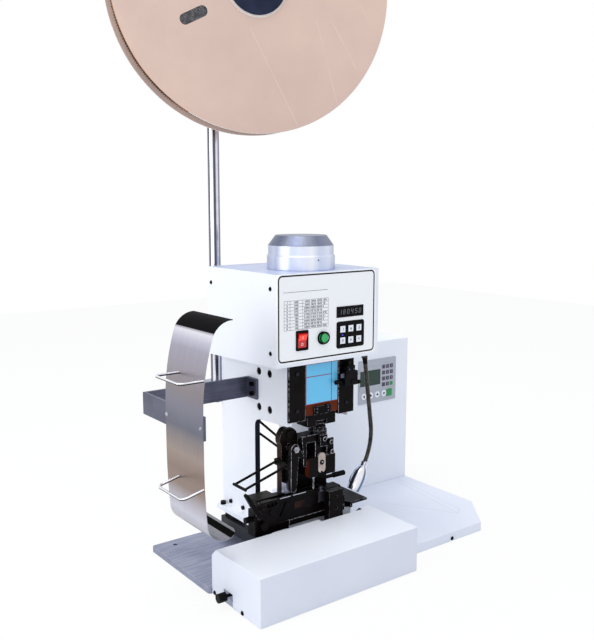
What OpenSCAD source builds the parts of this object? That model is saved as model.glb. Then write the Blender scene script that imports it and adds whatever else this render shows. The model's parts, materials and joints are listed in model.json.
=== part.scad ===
// Bench machine that strips a wire and crimps a terminal on it.
// X runs along the front from left to right, Y from front to back, Z up, in millimetres.
// The origin is on the underside of the base plate, straight below the crimping line.

/* [Base] */
// Base plate edge to the left of the crimping line
base_left = 270; // [262:1:300]
// Base plate and front cover edge to the right of the crimping line
base_right = 111; // [108:1:120]
// Rear edge of the base plate behind the crimping line
base_rear = 218; // [205:1:240]
// Thickness of the base plate
base_t = 12; // [10:1:16]
// Diameter of the bench bolt holes
bench_hole_d = 9; // [6:0.5:12]
// Height of the dark rails under the frame
riser_h = 28; // [20:1:36]
// Thickness of the rubber pads under the frame
pad_t = 12; // [8:1:16]

/* [Frame] */
// Outside width of the frame over both side plates
frame_w = 166; // [160:1:172]
// Thickness of each side plate
frame_t = 12.5; // [10:0.5:15]
// Front edge of the side plates ahead of the crimping line
frame_front = 9; // [7:1:10]
// Rear face of the column behind the crimping line
column_rear = 235; // [225:1:250]
// Rear wall of the throat behind the crimping line
throat_depth = 105; // [98:1:112]
// Height of the throat roof above the bench
throat_top = 283; // [276:1:286]
// Height of the lower jaw above the bench
jaw_top = 88; // [84:1:92]
// Thickness of the bed plate on the lower jaw
bed_t = 12; // [10:1:14]
// Diameter of the big frame bolt heads
frame_bolt_d = 15; // [12:0.5:17]

/* [Head] */
// Width of the head cover
head_w = 257; // [252:1:264]
// Depth of the head cover
head_d = 251; // [245:1:256]
// Top of the head cover above the bench
head_top = 593; // [588:1:600]
// Lower front edge of the head cover above the bench
head_bottom = 414; // [411:1:418]
// Sheet thickness of the covers
sheet_t = 2; // [1.5:0.5:2.5]
// Width of the control panel
panel_w = 247; // [240:1:250]
// Height of the control panel
panel_h = 172; // [168:1:174]
// Thickness of the control panel
panel_t = 4; // [3:0.5:5]
// Outside diameter of the motor cap
cap_d = 138; // [130:1:144]
// Height of the motor cap
cap_h = 68; // [64:1:74]

/* [Ram] */
// Stroke of the ram
stroke = 30; // [20:1:30]
// Width of the ram
ram_w = 84; // [78:1:88]
// Depth of the ram
ram_d = 38; // [36:1:40]
// Underside of the ram above the bench at the top of its stroke
ram_bottom = 305; // [303:1:308]
// Height of the ram
ram_h = 195; // [190:1:198]
// Height of the slide guides
gib_h = 165; // [150:1:168]
// Diameter of the roller on the crank pin
roller_d = 18; // [16:1:20]

/* [Applicator] */
// Thickness of the applicator's base plate
app_base_t = 20; // [16:1:22]
// Height of the terminal track over the applicator's base plate
track_h = 30; // [26:1:32]
// Length of the terminal track to the left of the crimping line
track_l = 165; // [140:1:180]
// Width of the terminal track
track_w = 24; // [20:1:26]
// Width of the applicator's ram
punch_w = 28; // [24:1:30]
// Diameter of the lower setting dial
dial_d = 38; // [32:1:40]
// Feed stroke of the feed finger
feed_stroke = 17; // [10:1:18]

/* [Front cover and table] */
// Depth of the front cover
cover_d = 162; // [155:1:170]
// Height of the front cover above the bench
cover_h = 92; // [88:1:98]
// Height of the work table
table_h = 20; // [16:1:26]
// Width of the work table
table_w = 337; // [320:1:350]
// Depth of the work table
table_d = 448; // [430:1:470]
// Width of the control box
box_w = 272; // [255:1:285]
// Depth of the control box
box_d = 120; // [100:1:130]
// Height of the control box above its table
box_h = 365; // [340:1:380]

/* [Chute] */
// Width of the chute strip
chute_w = 134; // [120:1:140]
// Thickness of the chute strip
chute_t = 1.5; // [1:0.5:2.5]
// Reach of the chute to the left of the crimping line
chute_x = 324; // [318:1:335]
// Diameter of the wire loops
loop_d = 5; // [4:0.5:6]
// Thickness of the flat bar that carries the chute
bar_t = 6; // [5:0.5:8]
// Width of the flat bar that carries the chute
bar_w = 43; // [36:1:46]

/* [Lamp] */
// Diameter of the gooseneck
neck_d = 8; // [7:0.5:9]
// Largest diameter of the lamp head
lamp_d = 33; // [30:1:36]
// Length of the lamp head
lamp_l = 61; // [56:1:64]

/* [Reel stand] */
// Diameter of the pole
pole_d = 25; // [22:1:28]
// Height of the reel's centre above the bench
reel_z = 1152; // [1100:5:1200]
// Outside diameter of the reel
reel_d = 580; // [540:5:600]
// Outside width of the reel
reel_w = 56; // [50:1:64]
// Thickness of each cardboard flange
flange_t = 3; // [2:0.5:4]
// Diameter of the reel's shaft
shaft_d = 20; // [16:1:24]
// Turn of the reel toward the left
reel_turn = 14; // [8:1:18]

/* [Hidden] */
$fn = 48;

// Running clearance of sliding faces and radial clearance of turning fits
slide_gap = 0.3;
turn_gap = 0.05;
over = 1;

// Base
base_front_gap = 0.5;
cover_front = -180;
cover_rear = cover_front + cover_d;
cover_left = -264;
base_front = cover_front + sheet_t + base_front_gap;
base_step_y = cover_rear + base_front_gap;
bench_hole_x = -227;
bench_holes_y = [-155, base_rear - 23];
riser_w = 34;
riser_front = 52;
riser_rear = base_rear - 2;
frame_z = base_t + riser_h + pad_t;

// Frame
frame_x = frame_w / 2;
inner_x = frame_x - frame_t;
nose_front_z = throat_top + 6;
frame_top = head_top - sheet_t - 6;
head_rear = -35 + panel_t + head_d;
upper_rear = head_rear - sheet_t - 8;
foot_w = 18;
foot_t = 10;
foot_front = 55;
foot_rear = column_rear;
upper_bolts = [[89, 385], [51, 385.5], [89, 310.5], [51, 311]];
foot_bolts = [[201, frame_z + 21], [152, frame_z + 21]];
foot_bolt_d = 9;
bore_gap = 0.5;
head_block_front = 35;
head_block_top = 412;
bed_top = jaw_top + bed_t;

// Head
head_left = -124;
head_right = head_left + head_w;
panel_front = -35;
head_front = panel_front + panel_t;
panel_bottom = head_top - panel_h;
panel_left = head_left;
switch_x = -66.5;
switch_z = 464;
switch_w = 29;
switch_h = 39;
rocker_w = 21;
rocker_h = 31;
button_x = -15.7;
button_z = 463.8;
button_d = 20;
bezel_d = 26;
panel_right = panel_left + panel_w;
display_x = panel_right - 69.2;
display_z = 511;
display_w = 70;
display_h = 22;
keypad_x = panel_right - 68;
keypad_z = 465;
keypad_w = 72;
keypad_h = 54;
rocker_pin_d = 3;
rocker_depth = 2;
motor_y = 57;
motor_d = 112;
cover_screw_points = [[-12, 441], [-12, 565], [205, 448], [205, 560]];

// Drive
ram_front = -13;
ram_rear = ram_front + ram_d;
crank_throw = stroke / 2;
slot_z = ram_bottom + ram_h - 27;
crank_z = slot_z - crank_throw;
slot_clear = 3.5;
slot_h = roller_d + 2 * slot_clear;
slot_w = 2 * crank_throw + roller_d + 4;
slot_floor = ram_rear - 18;
crank_disc_d = 60;
crank_disc_t = 8;
crank_front = ram_rear + 1;
crank_pin_d = 12;
crank_shaft_d = 36;
crank_shaft_end = 92;
gib_front = -15;
gib_bottom = 297;
gib_rear = head_block_front;
tongue = 8;
tongue_front = 2;
tongue_rear = 14;
adapter_h = 24;
adapter_w = 72;
adapter_z = ram_bottom - adapter_h;
head_pin_d = 26;
head_pin_t = 7.6;
neck_pin_d = 16;
post_z = 263;
head_pin_z = 283;

// Applicator
app_z = bed_top;
app_top = app_z + app_base_t;
track_z = app_top + track_h;
track_front = -16;
track_right = -9;
groove_w = 12;
groove_t = 5;
track_pin_d = 4;
punch_d = 22;
punch_bottom = track_z + stroke + 6;
guide_bottom = track_z + 26;
guide_top = guide_bottom + 40;
guide_w = 68;
lever_x = -66;
lever_z = track_z + 92;
bracket_left = lever_x - 18;
bracket_right = lever_x + 22;
bracket_front = 9;
bracket_rear = 25;
lever_pin_d = 8;
lever_arm = 82;
lever_end_x = -4;
follower = [15, -17];
lever_turn = asin(feed_stroke / lever_arm);
follower_rise = -follower[1] * sin(lever_turn);

// Stripping unit, work table and control box
rods_x = [7, 25];
strip_rod_d = 8;
table_left = base_right + slide_gap;
table_front = -123;
box_right = table_left + table_w;
box_front = 201;

// Chute
chute_front = -100;
chute_rear = chute_front + chute_w;
bar_z = 346.5;
bar_bolts_z = [bar_z - 10, bar_z + 10];
bend_z = bar_z + bar_w / 2 + 1;
chute_screws_y = [chute_front + 8, chute_rear - 4];
low_r = 1254;
low_turn = 5.12;
foot_r = 36;
foot_end = 316;
chute_straight = bend_z - 284;
foot_centre = [low_r - (low_r - foot_r) * cos(low_turn), -chute_straight - (low_r - foot_r) * sin(low_turn)];

// Lamp
lamp_x = head_right - 22;
lamp_y = -15;
neck_top = head_bottom + 2;
neck_lean = 7.5;
neck_straight = 155;
neck_bend_r = 134;
lamp_lean = 30;
neck_p1 = [lamp_x + neck_straight * sin(neck_lean), neck_top - neck_straight * cos(neck_lean)];
neck_c = neck_p1 - neck_bend_r * [cos(neck_lean), sin(neck_lean)];
neck_p2 = neck_c + neck_bend_r * [cos(lamp_lean), -sin(lamp_lean)];
eye_d = 11;
eye_t = 4;
lamp_pin_d = 4;

// Reel stand
pole_x = -87;
pole_y = column_rear + pole_d / 2 + 2.5;
reel_x = -52;
reel_y = 150;
hub_t = 4;
clamp_z = 298;
reel_off_x = (reel_x - pole_x) * cos(reel_turn) - (reel_y - pole_y) * sin(reel_turn);
reel_off_y = (reel_x - pole_x) * sin(reel_turn) + (reel_y - pole_y) * cos(reel_turn);

// A box given by its corners
module block(x0, x1, y0, y1, z0, z1) {
    translate([x0, y0, z0]) cube([x1 - x0, y1 - y0, z1 - z0]);
}

// A rectangle with round corners
module round_rect(w, h, r) {
    union() {
        square([w - 2 * r, h], center = true);
        square([w, h - 2 * r], center = true);
        for (sx = [-1, 1], sy = [-1, 1]) translate([sx * (w / 2 - r), sy * (h / 2 - r)]) circle(r);
    }
}

// Extrudes an outline drawn in Y and Z along X
module along_x(x0, x1) {
    translate([x0, 0, 0]) rotate([90, 0, 90]) linear_extrude(x1 - x0) children();
}

// Extrudes an outline drawn in X and Z along Y
module along_y(y0, y1) {
    translate([0, y1, 0]) rotate([90, 0, 0]) linear_extrude(y1 - y0) children();
}

// Extrudes an outline drawn in X and Y along Z
module linear_z(z0, z1) {
    translate([0, 0, z0]) linear_extrude(z1 - z0) children();
}

// Round bars along the axes
module rod_x(x0, x1, y, z, d) {
    translate([x0, y, z]) rotate([0, 90, 0]) cylinder(h = x1 - x0, d = d);
}
module rod_y(x, y0, y1, z, d) {
    translate([x, y1, z]) rotate([90, 0, 0]) cylinder(h = y1 - y0, d = d);
}
module rod_z(x, y, z0, z1, d) {
    translate([x, y, z0]) cylinder(h = z1 - z0, d = d);
}

// A round bar between two points in a plane of constant Y
module rod_xz(a, b, y, d) {
    v = b - a;
    translate([a[0], y, a[1]]) rotate([0, atan2(v[0], v[1]), 0]) cylinder(h = norm(v), d = d);
}

// A cap screw head with a hexagon socket, pointing along +Z from its seat
module cap_head(d, h) {
    difference() {
        cylinder(h = h, d = d);
        translate([0, 0, h / 2]) cylinder(h = h, d = d / 2, $fn = 6);
    }
}

module base_plate() {
    corner = 6;
    color([0.62, 0.63, 0.66]) difference() {
        linear_extrude(base_t) union() {
            translate([(base_right - base_left) / 2, (base_step_y + base_rear) / 2])
                round_rect(base_right + base_left, base_rear - base_step_y, corner);
            translate([cover_left + sheet_t + base_front_gap, base_front])
                square([base_right - cover_left - 2 * sheet_t - 2 * base_front_gap, base_step_y - base_front + corner]);
        }
        for (y = bench_holes_y) rod_z(bench_hole_x, y, -over, base_t + over, bench_hole_d);
    }
}

module riser() {
    color([0.2, 0.2, 0.22]) for (side = [-1, 1]) {
        x = side * (frame_x + foot_w - riser_w / 2);
        block(x - riser_w / 2, x + riser_w / 2, riser_front, riser_rear, base_t, base_t + riser_h);
    }
}

module foot_pads() {
    pad_l = 46;
    color([0.06, 0.06, 0.07]) for (side = [-1, 1], y = [riser_front + pad_l / 2 + 4, riser_rear - pad_l / 2 - 6]) {
        translate([side * (frame_x + foot_w - riser_w / 2), y, base_t + riser_h]) linear_extrude(pad_t)
            round_rect(riser_w - 6, pad_l, 10);
    }
}

// Outline of a side plate in Y and Z
module frame_outline() {
    throat_r = 16;
    difference() {
        union() {
            polygon([[-frame_front, frame_z], [column_rear, frame_z], [column_rear, head_bottom - 12],
                [upper_rear, head_bottom - 12], [upper_rear, frame_top], [-frame_front, frame_top]]);
        }
        difference() {
            polygon([[-frame_front - over, jaw_top], [throat_depth, jaw_top], [throat_depth, throat_top],
                [-frame_front - over, nose_front_z]]);
            translate([throat_depth - throat_r, throat_top - throat_r]) difference() {
                square(throat_r + over);
                circle(throat_r);
            }
        }
    }
}

module frame_side(side) {
    x0 = side < 0 ? -frame_x : inner_x;
    face = side * frame_x;
    difference() {
        union() {
            along_x(x0, x0 + frame_t) frame_outline();
            block(min(face, face + side * foot_w), max(face, face + side * foot_w), foot_front, foot_rear,
                frame_z, frame_z + foot_t);
        }
        for (p = upper_bolts) translate([face, p[0], p[1]]) rotate([0, side * -90, 0])
            translate([0, 0, -over]) cylinder(h = 9 + over, d = frame_bolt_d + 2 * bore_gap);
    }
}

module frame_left() {
    color([0.92, 0.93, 0.96]) frame_side(-1);
}

module frame_right() {
    color([0.92, 0.93, 0.96]) frame_side(1);
}

module frame_spacers() {
    back_t = 7;
    color([0.88, 0.89, 0.92]) {
        block(-inner_x, inner_x, -frame_front, throat_depth, frame_z, jaw_top);
        block(-inner_x, inner_x, column_rear - back_t, column_rear, throat_top + 17, head_bottom - 12);
    }
}

module frame_head() {
    color([0.8, 0.81, 0.84]) block(-inner_x, inner_x, head_block_front, throat_depth, throat_top + 17,
        head_block_top);
}

module frame_bolts() {
    seat = 9;
    color([0.05, 0.05, 0.06]) for (side = [-1, 1]) {
        for (p = upper_bolts) translate([side * (frame_x - seat), p[0], p[1]]) rotate([0, side * 90, 0])
            cap_head(frame_bolt_d, seat - 1);
        for (p = foot_bolts) translate([side * frame_x, p[0], p[1]]) rotate([0, side * 90, 0])
            cap_head(foot_bolt_d, 4);
        if (side < 0) for (z = bar_bolts_z) translate([-frame_x - bar_t, 104, z]) rotate([0, -90, 0])
            cap_head(10, 5);
        for (y = [foot_front + 25, foot_rear - 14]) translate([side * (frame_x + foot_w / 2), y, frame_z + foot_t])
            cap_head(foot_bolt_d + 3, 7);
    }
}

module bed_plate() {
    right = 124;
    wing_left = 78;
    wing_t = 5;
    rear = throat_depth - 5;
    color([0.1, 0.1, 0.11]) difference() {
        union() {
            linear_z(jaw_top, bed_top) polygon([[-frame_x, track_front], [60, track_front], [70, 12],
                [wing_left, track_front + 1], [frame_x, track_front + 1], [frame_x, rear], [-frame_x, rear]]);
            block(wing_left + 1, right, track_front + 1, rear, bed_top - wing_t, bed_top);
        }
        rod_z(92, 60, bed_top - wing_t - over, bed_top + over, 7);
    }
}

module head_cover() {
    rear_drop = 7;
    window_margin = 14;
    motor_gap = 3;
    color([0.93, 0.94, 0.97]) difference() {
        along_x(head_left, head_right) polygon([[head_front, head_bottom], [head_rear, head_bottom - rear_drop],
            [head_rear, head_top], [head_front, head_top]]);
        block(head_left + sheet_t, head_right - sheet_t, head_front + sheet_t, head_rear - sheet_t,
            head_bottom - rear_drop - over, head_top - sheet_t);
        block(panel_left + window_margin, panel_left + panel_w - window_margin, head_front - over,
            head_front + sheet_t + over, panel_bottom + window_margin, head_top - window_margin);
        rod_z(0, motor_y, head_top - sheet_t - over, head_top + over, motor_d + 2 * motor_gap);
        for (p = cover_screw_points) rod_x(head_left - over, head_left + sheet_t + over, p[0], p[1], 5);
        for (k = [0:5]) block(-60, 60, head_rear - sheet_t - over, head_rear + over, 440 + 14 * k, 446 + 14 * k);
    }
}

module cover_brackets() {
    web = 3;
    lip = 14;
    z0 = head_bottom + 16;
    z1 = frame_top - 6;
    color([0.7, 0.71, 0.74]) for (p = [[cover_screw_points[0][0], 1], [cover_screw_points[2][0], -1]]) {
        front = p[0] - lip / 2;
        for (side = [-1, 1]) {
            wall = side < 0 ? head_left + sheet_t : head_right - sheet_t;
            face = side * frame_x;
            rear = p[1] > 0 ? front + lip : front;
            linear_z(z0, z1) polygon([[wall, front], [wall, front + lip], [wall - side * web, front + lip],
                [wall - side * web, front + web], [face + side * web, front + web],
                [face + side * web, front + lip], [face, front + lip], [face, front]]);
        }
    }
}

// A dome head that points to the left from a wall at x
module dome_left(x, y, z, d) {
    translate([x, y, z]) rotate([0, -90, 0]) intersection() {
        cylinder(h = d / 2, d = d);
        translate([0, 0, -d / 4]) sphere(d = d * 1.12);
    }
}

module cover_screws() {
    color([0.05, 0.05, 0.06]) {
        for (p = cover_screw_points) dome_left(head_left, p[0], p[1], 9);
        for (y = [-122.5, -28]) dome_left(cover_left, y, 6, 9);
        for (y = chute_screws_y) dome_left(-chute_x - chute_t / 2, y, bar_z, 9);
        translate([275, table_front, 6]) rotate([0, 0, 90]) dome_left(0, 0, 0, 9);
    }
}

module control_panel() {
    color([0.96, 0.96, 0.97]) difference() {
        along_y(panel_front, head_front) translate([panel_left + panel_w / 2, panel_bottom + panel_h / 2])
            round_rect(panel_w, panel_h, 8);
        block(switch_x - rocker_w / 2 - 1.5, switch_x + rocker_w / 2 + 1.5, panel_front - over, head_front + over,
            switch_z - rocker_h / 2 - 1.5, switch_z + rocker_h / 2 + 1.5);
        rod_y(button_x, panel_front - over, head_front + over, button_z, button_d + 2);
    }
}

module panel_bezels() {
    rim = 2;
    well = 12;
    color([0.05, 0.05, 0.06]) {
        difference() {
            union() {
                along_y(panel_front - rim, panel_front) translate([switch_x, switch_z])
                    round_rect(switch_w, switch_h, 2);
                block(switch_x - rocker_w / 2 - 1.5, switch_x + rocker_w / 2 + 1.5, panel_front, panel_front + well,
                    switch_z - rocker_h / 2 - 1.5, switch_z + rocker_h / 2 + 1.5);
            }
            block(switch_x - rocker_w / 2, switch_x + rocker_w / 2, panel_front - rim - over, panel_front + well - 1.5,
                switch_z - rocker_h / 2, switch_z + rocker_h / 2);
            rod_x(switch_x - rocker_w / 2 - 1.4, switch_x + rocker_w / 2 + 1.4, panel_front + rocker_depth, switch_z,
                rocker_pin_d + 2 * turn_gap);
        }
        difference() {
            union() {
                rod_y(button_x, panel_front - rim, panel_front, button_z, bezel_d);
                rod_y(button_x, panel_front, panel_front + well, button_z, button_d + 2);
            }
            rod_y(button_x, panel_front - rim - over, panel_front + well - 1.5, button_z, button_d);
        }
    }
}

module power_switch() {
    half = rocker_h / 2 - 0.6;
    tilt = 10;
    color([0.85, 0.05, 0.04]) translate([0, panel_front + rocker_depth, switch_z]) rotate([tilt, 0, 0])
        along_x(switch_x - rocker_w / 2 + slide_gap, switch_x + rocker_w / 2 - slide_gap)
            polygon([[0, -half], [-5.5, -half + 1.5], [-3.2, 0], [-5.5, half - 1.5], [0, half], [5, 6], [5, -6]]);
    color([0.85, 0.05, 0.04]) rod_x(switch_x - rocker_w / 2 - 1.2, switch_x + rocker_w / 2 + 1.2,
        panel_front + rocker_depth, switch_z, rocker_pin_d);
}

module start_button() {
    color([0.1, 0.6, 0.25]) {
        rod_y(button_x, panel_front - 6, panel_front + 5, button_z, button_d - 2 * slide_gap);
    }
}

module counter_display() {
    color([0.08, 0.08, 0.09]) block(display_x - display_w / 2, display_x + display_w / 2, panel_front - 1, panel_front,
        display_z - display_h / 2, display_z + display_h / 2);
}

module panel_keypad() {
    key = 13;
    pitch_x = 21;
    pitch_z = 23;
    color([0.06, 0.06, 0.07]) {
        along_y(panel_front - 0.8, panel_front) translate([keypad_x, keypad_z]) round_rect(keypad_w, keypad_h, 5);
        for (i = [-1:1], k = [0:1]) along_y(panel_front - 1.8, panel_front - 0.8)
            translate([keypad_x + i * pitch_x, keypad_z - 11.5 + k * pitch_z]) round_rect(key, key, 1.5);
    }
}

module gearbox() {
    width = 124;
    rear = 98;
    top = 512;
    color([0.45, 0.47, 0.5]) difference() {
        union() {
            block(-width / 2, width / 2, head_block_front + 1, rear, head_block_top, top - 8);
            rod_z(0, motor_y, top - 8, top, motor_d + 8);
        }
        rod_y(0, head_block_front, crank_shaft_end + over, crank_z, crank_shaft_d + 2 * turn_gap);
    }
}

module motor() {
    foot = 512;
    color([0.3, 0.32, 0.35]) {
        rod_z(0, motor_y, foot, head_top + 8, motor_d);
    }
}

module motor_cap() {
    r = cap_d / 2;
    step = 2.6;
    lower_h = 27.5;
    chamfer_h = 20;
    top_r = r - 17;
    wall = 8;
    color([0.72, 0.73, 0.75]) translate([0, motor_y, head_top]) rotate_extrude($fn = 96) polygon([
        [r - wall, 0], [r, 0], [r, lower_h], [r - step, lower_h + 2], [r - step, cap_h - chamfer_h],
        [top_r, cap_h], [0, cap_h], [0, cap_h - wall], [top_r - wall / 2, cap_h - wall],
        [r - wall, cap_h - chamfer_h - 2]]);
}

module crank() {
    color([0.55, 0.56, 0.6]) union() {
        rod_y(0, crank_front, crank_front + crank_disc_t, crank_z, crank_disc_d);
        rod_y(0, crank_front + crank_disc_t - over, crank_shaft_end, crank_z, crank_shaft_d);
        rod_y(0, slot_floor + 2, crank_front + over, slot_z, crank_pin_d);
        rod_y(0, slot_floor + 2, ram_rear - 1, slot_z, roller_d);
    }
}

// Outline of a slide guide in X and Y, on the left side
module gib_outline() {
    way = ram_w / 2 + slide_gap;
    polygon([[-frame_x, gib_front], [-way, gib_front], [-way, tongue_front - slide_gap],
        [-way - tongue, tongue_front - slide_gap], [-way - tongue, tongue_rear + slide_gap],
        [-way, tongue_rear + slide_gap], [-way, gib_rear], [-inner_x, gib_rear], [-inner_x, -frame_front],
        [-frame_x, -frame_front]]);
}

module gib_left() {
    color([0.07, 0.07, 0.08]) linear_z(gib_bottom, gib_bottom + gib_h) gib_outline();
}

module gib_right() {
    color([0.07, 0.07, 0.08]) linear_z(gib_bottom, gib_bottom + gib_h) mirror([1, 0]) gib_outline();
}

module gib_screws() {
    color([0.12, 0.12, 0.13]) for (side = [-1, 1], z = [319, 394])
        translate([side * 63, gib_front, z]) rotate([90, 0, 0]) cap_head(8.5, 1.5);
}

module ram() {
    half = ram_w / 2;
    color([0.42, 0.22, 0.12]) difference() {
        linear_z(ram_bottom, ram_bottom + ram_h) polygon([[-half, ram_front], [half, ram_front], [half, tongue_front],
            [half + tongue, tongue_front], [half + tongue, tongue_rear], [half, tongue_rear], [half, ram_rear],
            [-half, ram_rear], [-half, tongue_rear], [-half - tongue, tongue_rear], [-half - tongue, tongue_front],
            [-half, tongue_front]]);
        block(-slot_w / 2, slot_w / 2, slot_floor, ram_rear + over, slot_z - slot_h / 2, slot_z + slot_h / 2);
    }
}

module ram_plate() {
    plate_t = 1;
    color([0.35, 0.72, 0.9]) block(-ram_w / 2 + 1, ram_w / 2 - 1, ram_front - plate_t, ram_front, 327, 410);
}

module ram_adapter() {
    slot_r = head_pin_d / 2 + 0.4;
    front = ram_front;
    color([0.08, 0.08, 0.09]) {
        difference() {
            block(-adapter_w / 2, adapter_w / 2, front, ram_rear - 2, adapter_z, ram_bottom);
            block(-slot_r, slot_r, front - over, 0, head_pin_z - 0.4, head_pin_z + head_pin_t + 0.4);
            rod_z(0, 0, head_pin_z - 0.4, head_pin_z + head_pin_t + 0.4, 2 * slot_r);
            block(-neck_pin_d / 2 - 0.4, neck_pin_d / 2 + 0.4, front - over, 0, adapter_z - over, head_pin_z);
            rod_z(0, 0, adapter_z - over, head_pin_z, neck_pin_d + 0.8);
        }
        difference() {
            block(-21, 21, ram_front - 4, ram_front, ram_bottom, ram_bottom + 17);
            for (sx = [-1, 1], z = [5, 12]) rod_y(sx * 14, ram_front - 4 - over, ram_front - 2, ram_bottom + z, 3.5);
        }
    }
}

module position_sensor() {
    color([0.06, 0.06, 0.07]) {
        block(48, 82, gib_front - 14, gib_front, 357, 386);
        rod_x(42.5, 48, gib_front - 8, 362, 5);
        rod_x(82, 88, gib_front - 8, 362, 5);
    }
}

module app_base() {
    color([0.12, 0.12, 0.13]) difference() {
        block(-110, 62, track_front + 2, 84, app_z, app_top);
        for (p = [[-95, 70], [50, 70]]) rod_z(p[0], p[1], app_top - 6, app_top + over, 11);
    }
}

module app_frame() {
    way = punch_w / 2 + slide_gap;
    deep = punch_d / 2 + slide_gap;
    lip = 10.8;
    front = -16;
    color([0.08, 0.08, 0.09]) {
        union() {
            block(-40, 40, 12, 62, app_top, app_top + 22);
            block(-40, 40, 20, 55, app_top, guide_top + 34);
            rod_x(38, 94, 28, app_top + 30, 8);
            linear_z(guide_bottom, guide_top) polygon([[-guide_w / 2, front], [-lip, front], [-lip, -deep],
                [-way, -deep], [-way, deep], [way, deep], [way, -deep], [lip, -deep], [lip, front],
                [guide_w / 2, front], [guide_w / 2, 21], [-guide_w / 2, 21]]);
        }
    }
}

module app_ram() {
    half = punch_w / 2;
    cam_x = -guide_w / 2 - 2;
    cam_rise = follower_rise;
    color([0.1, 0.1, 0.11]) union() {
        block(-half, half, -punch_d / 2, punch_d / 2, punch_bottom, post_z);
        rod_z(0, 0, post_z - over, head_pin_z + over, neck_pin_d);
        rod_z(0, 0, head_pin_z, head_pin_z + head_pin_t, head_pin_d);
        block(cam_x - 6, -half + over, -punch_d / 2, -3, guide_top + stroke + 2, post_z);
        along_y(-punch_d / 2, -3) polygon([[cam_x, punch_bottom + 14], [cam_x, post_z], [cam_x - 8 - cam_rise, post_z],
            [cam_x - 8 - cam_rise, lever_z + follower[1] + stroke], [cam_x - 8, lever_z + follower[1]],
            [cam_x - 8, punch_bottom + 14]]);
    }
}

module crimper() {
    bottom = track_z + stroke + 1;
    height = 42;
    width = 20;
    color([0.75, 0.68, 0.58]) difference() {
        along_y(-15, -punch_d / 2) translate([0, bottom + height / 2]) difference() {
            round_rect(width, height, 6);
            translate([0, -height / 2]) circle(d = 7);
        }
        rod_y(0, -16, -13, bottom + height * 0.55, 9);
    }
}

// A setting dial with flutes around its rim
module dial(z0, z1, d) {
    difference() {
        rod_z(0, 0, z0, z1, d);
        rod_z(0, 0, z0 - over, z1 + over, neck_pin_d + 2 * turn_gap);
        for (k = [0:11]) rotate(k * 30) rod_z(d / 2 + 1, 0, z0 - over, z1 + over, 4);
    }
}

module dial_upper() {
    color([0.15, 0.15, 0.16]) dial(post_z + 7.6, post_z + 14.6, dial_d - 5);
}

module dial_lower() {
    color([0.15, 0.15, 0.16]) dial(post_z + slide_gap, post_z + 7.3, dial_d);
}

module anvil() {
    color([0.6, 0.6, 0.62]) union() {
        block(-7, 7, -14, 6, app_top, track_z - 8);
        block(-3, 3, -13, -7, track_z - 9, track_z);
    }
}

module feed_bracket() {
    left_r = 13;
    right_r = 22; // clears the ram at the bottom of its stroke
    top = throat_top - 2;
    wide = bracket_right - bracket_left;
    color([0.09, 0.09, 0.1]) union() {
        along_y(bracket_front, bracket_rear) {
            translate([bracket_left, app_top]) square([wide, top - right_r - app_top]);
            translate([bracket_left, app_top]) square([wide - right_r, top - left_r - app_top]);
            translate([bracket_left + left_r, app_top]) square([wide - left_r - right_r, top - app_top]);
            translate([bracket_left + left_r, top - left_r]) circle(left_r);
            translate([bracket_right - right_r, top - right_r]) circle(right_r);
        }
        rod_y(lever_x, -14, bracket_front + 1, lever_z, lever_pin_d);
        rod_y(lever_x, -4, bracket_front + 1, lever_z, lever_pin_d + 6);
        translate([lever_x, -14, lever_z]) rotate([90, 0, 0]) cylinder(h = 5, d = 14, $fn = 6);
    }
}

module feed_lever() {
    foot = [lever_x + lever_end_x, lever_z - lever_arm];
    roll = [lever_x, lever_z] + follower;
    color([0.13, 0.13, 0.14]) difference() {
        union() {
            along_y(-13.5, -5) hull() {
                translate([lever_x, lever_z]) circle(10);
                translate(foot) circle(7);
            }
            along_y(-13.5, -5) hull() {
                translate([lever_x, lever_z]) circle(10);
                translate(roll) circle(5.5);
            }
            rod_y(foot[0], -6, 4, foot[1], 6);
        }
        rod_y(lever_x, -14, -4, lever_z, lever_pin_d + 2 * turn_gap);
    }
}

module feed_finger() {
    x = lever_x + lever_end_x;
    color([0.5, 0.5, 0.52]) difference() {
        union() {
            block(x - 14, x + 14, -4, 9 - slide_gap, track_z + slide_gap, track_z + 22);
            block(x + 8, x + 13, -4, 2, track_z - groove_t + 2, track_z + 2);
        }
        block(x - 3.6, x + 3.6, -5, 5, track_z + 5, track_z + 17);
    }
}

module terminal_track() {
    rear = track_front + track_w;
    right_end = 48;
    entry_right = -112;
    entry_top = app_top + 16;
    shelf_left = -150;
    shelf_rear = 38;
    shelf_t = 4;
    foot_z = bed_top - 16;
    color([0.1, 0.1, 0.11]) {
        difference() {
            union() {
                block(entry_right, track_right, track_front, rear, app_top, track_z);
                block(shelf_left, entry_right + 11, track_front, shelf_rear, track_z - shelf_t, track_z);
                block(-track_l, entry_right + 1, track_front, rear, foot_z, entry_top);
                block(entry_right, -frame_x - 1, track_front, rear, foot_z, app_z);
                rod_y(-track_l + 6, track_front - 2, track_front + 2, app_top + 8, 12);
                rod_y(-track_l + 6, track_front - 10, track_front + 2, app_top + 8, track_pin_d);
            }
            block(-track_l - over, track_right + over, track_front + 6, track_front + 6 + groove_w,
                track_z - groove_t, track_z + over);
        }
        block(-track_right, right_end, track_front, rear, app_top, track_z - groove_t);
        rod_x(-track_l - 16, -track_l, track_front + 8, app_top, 11);
    }
}

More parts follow.
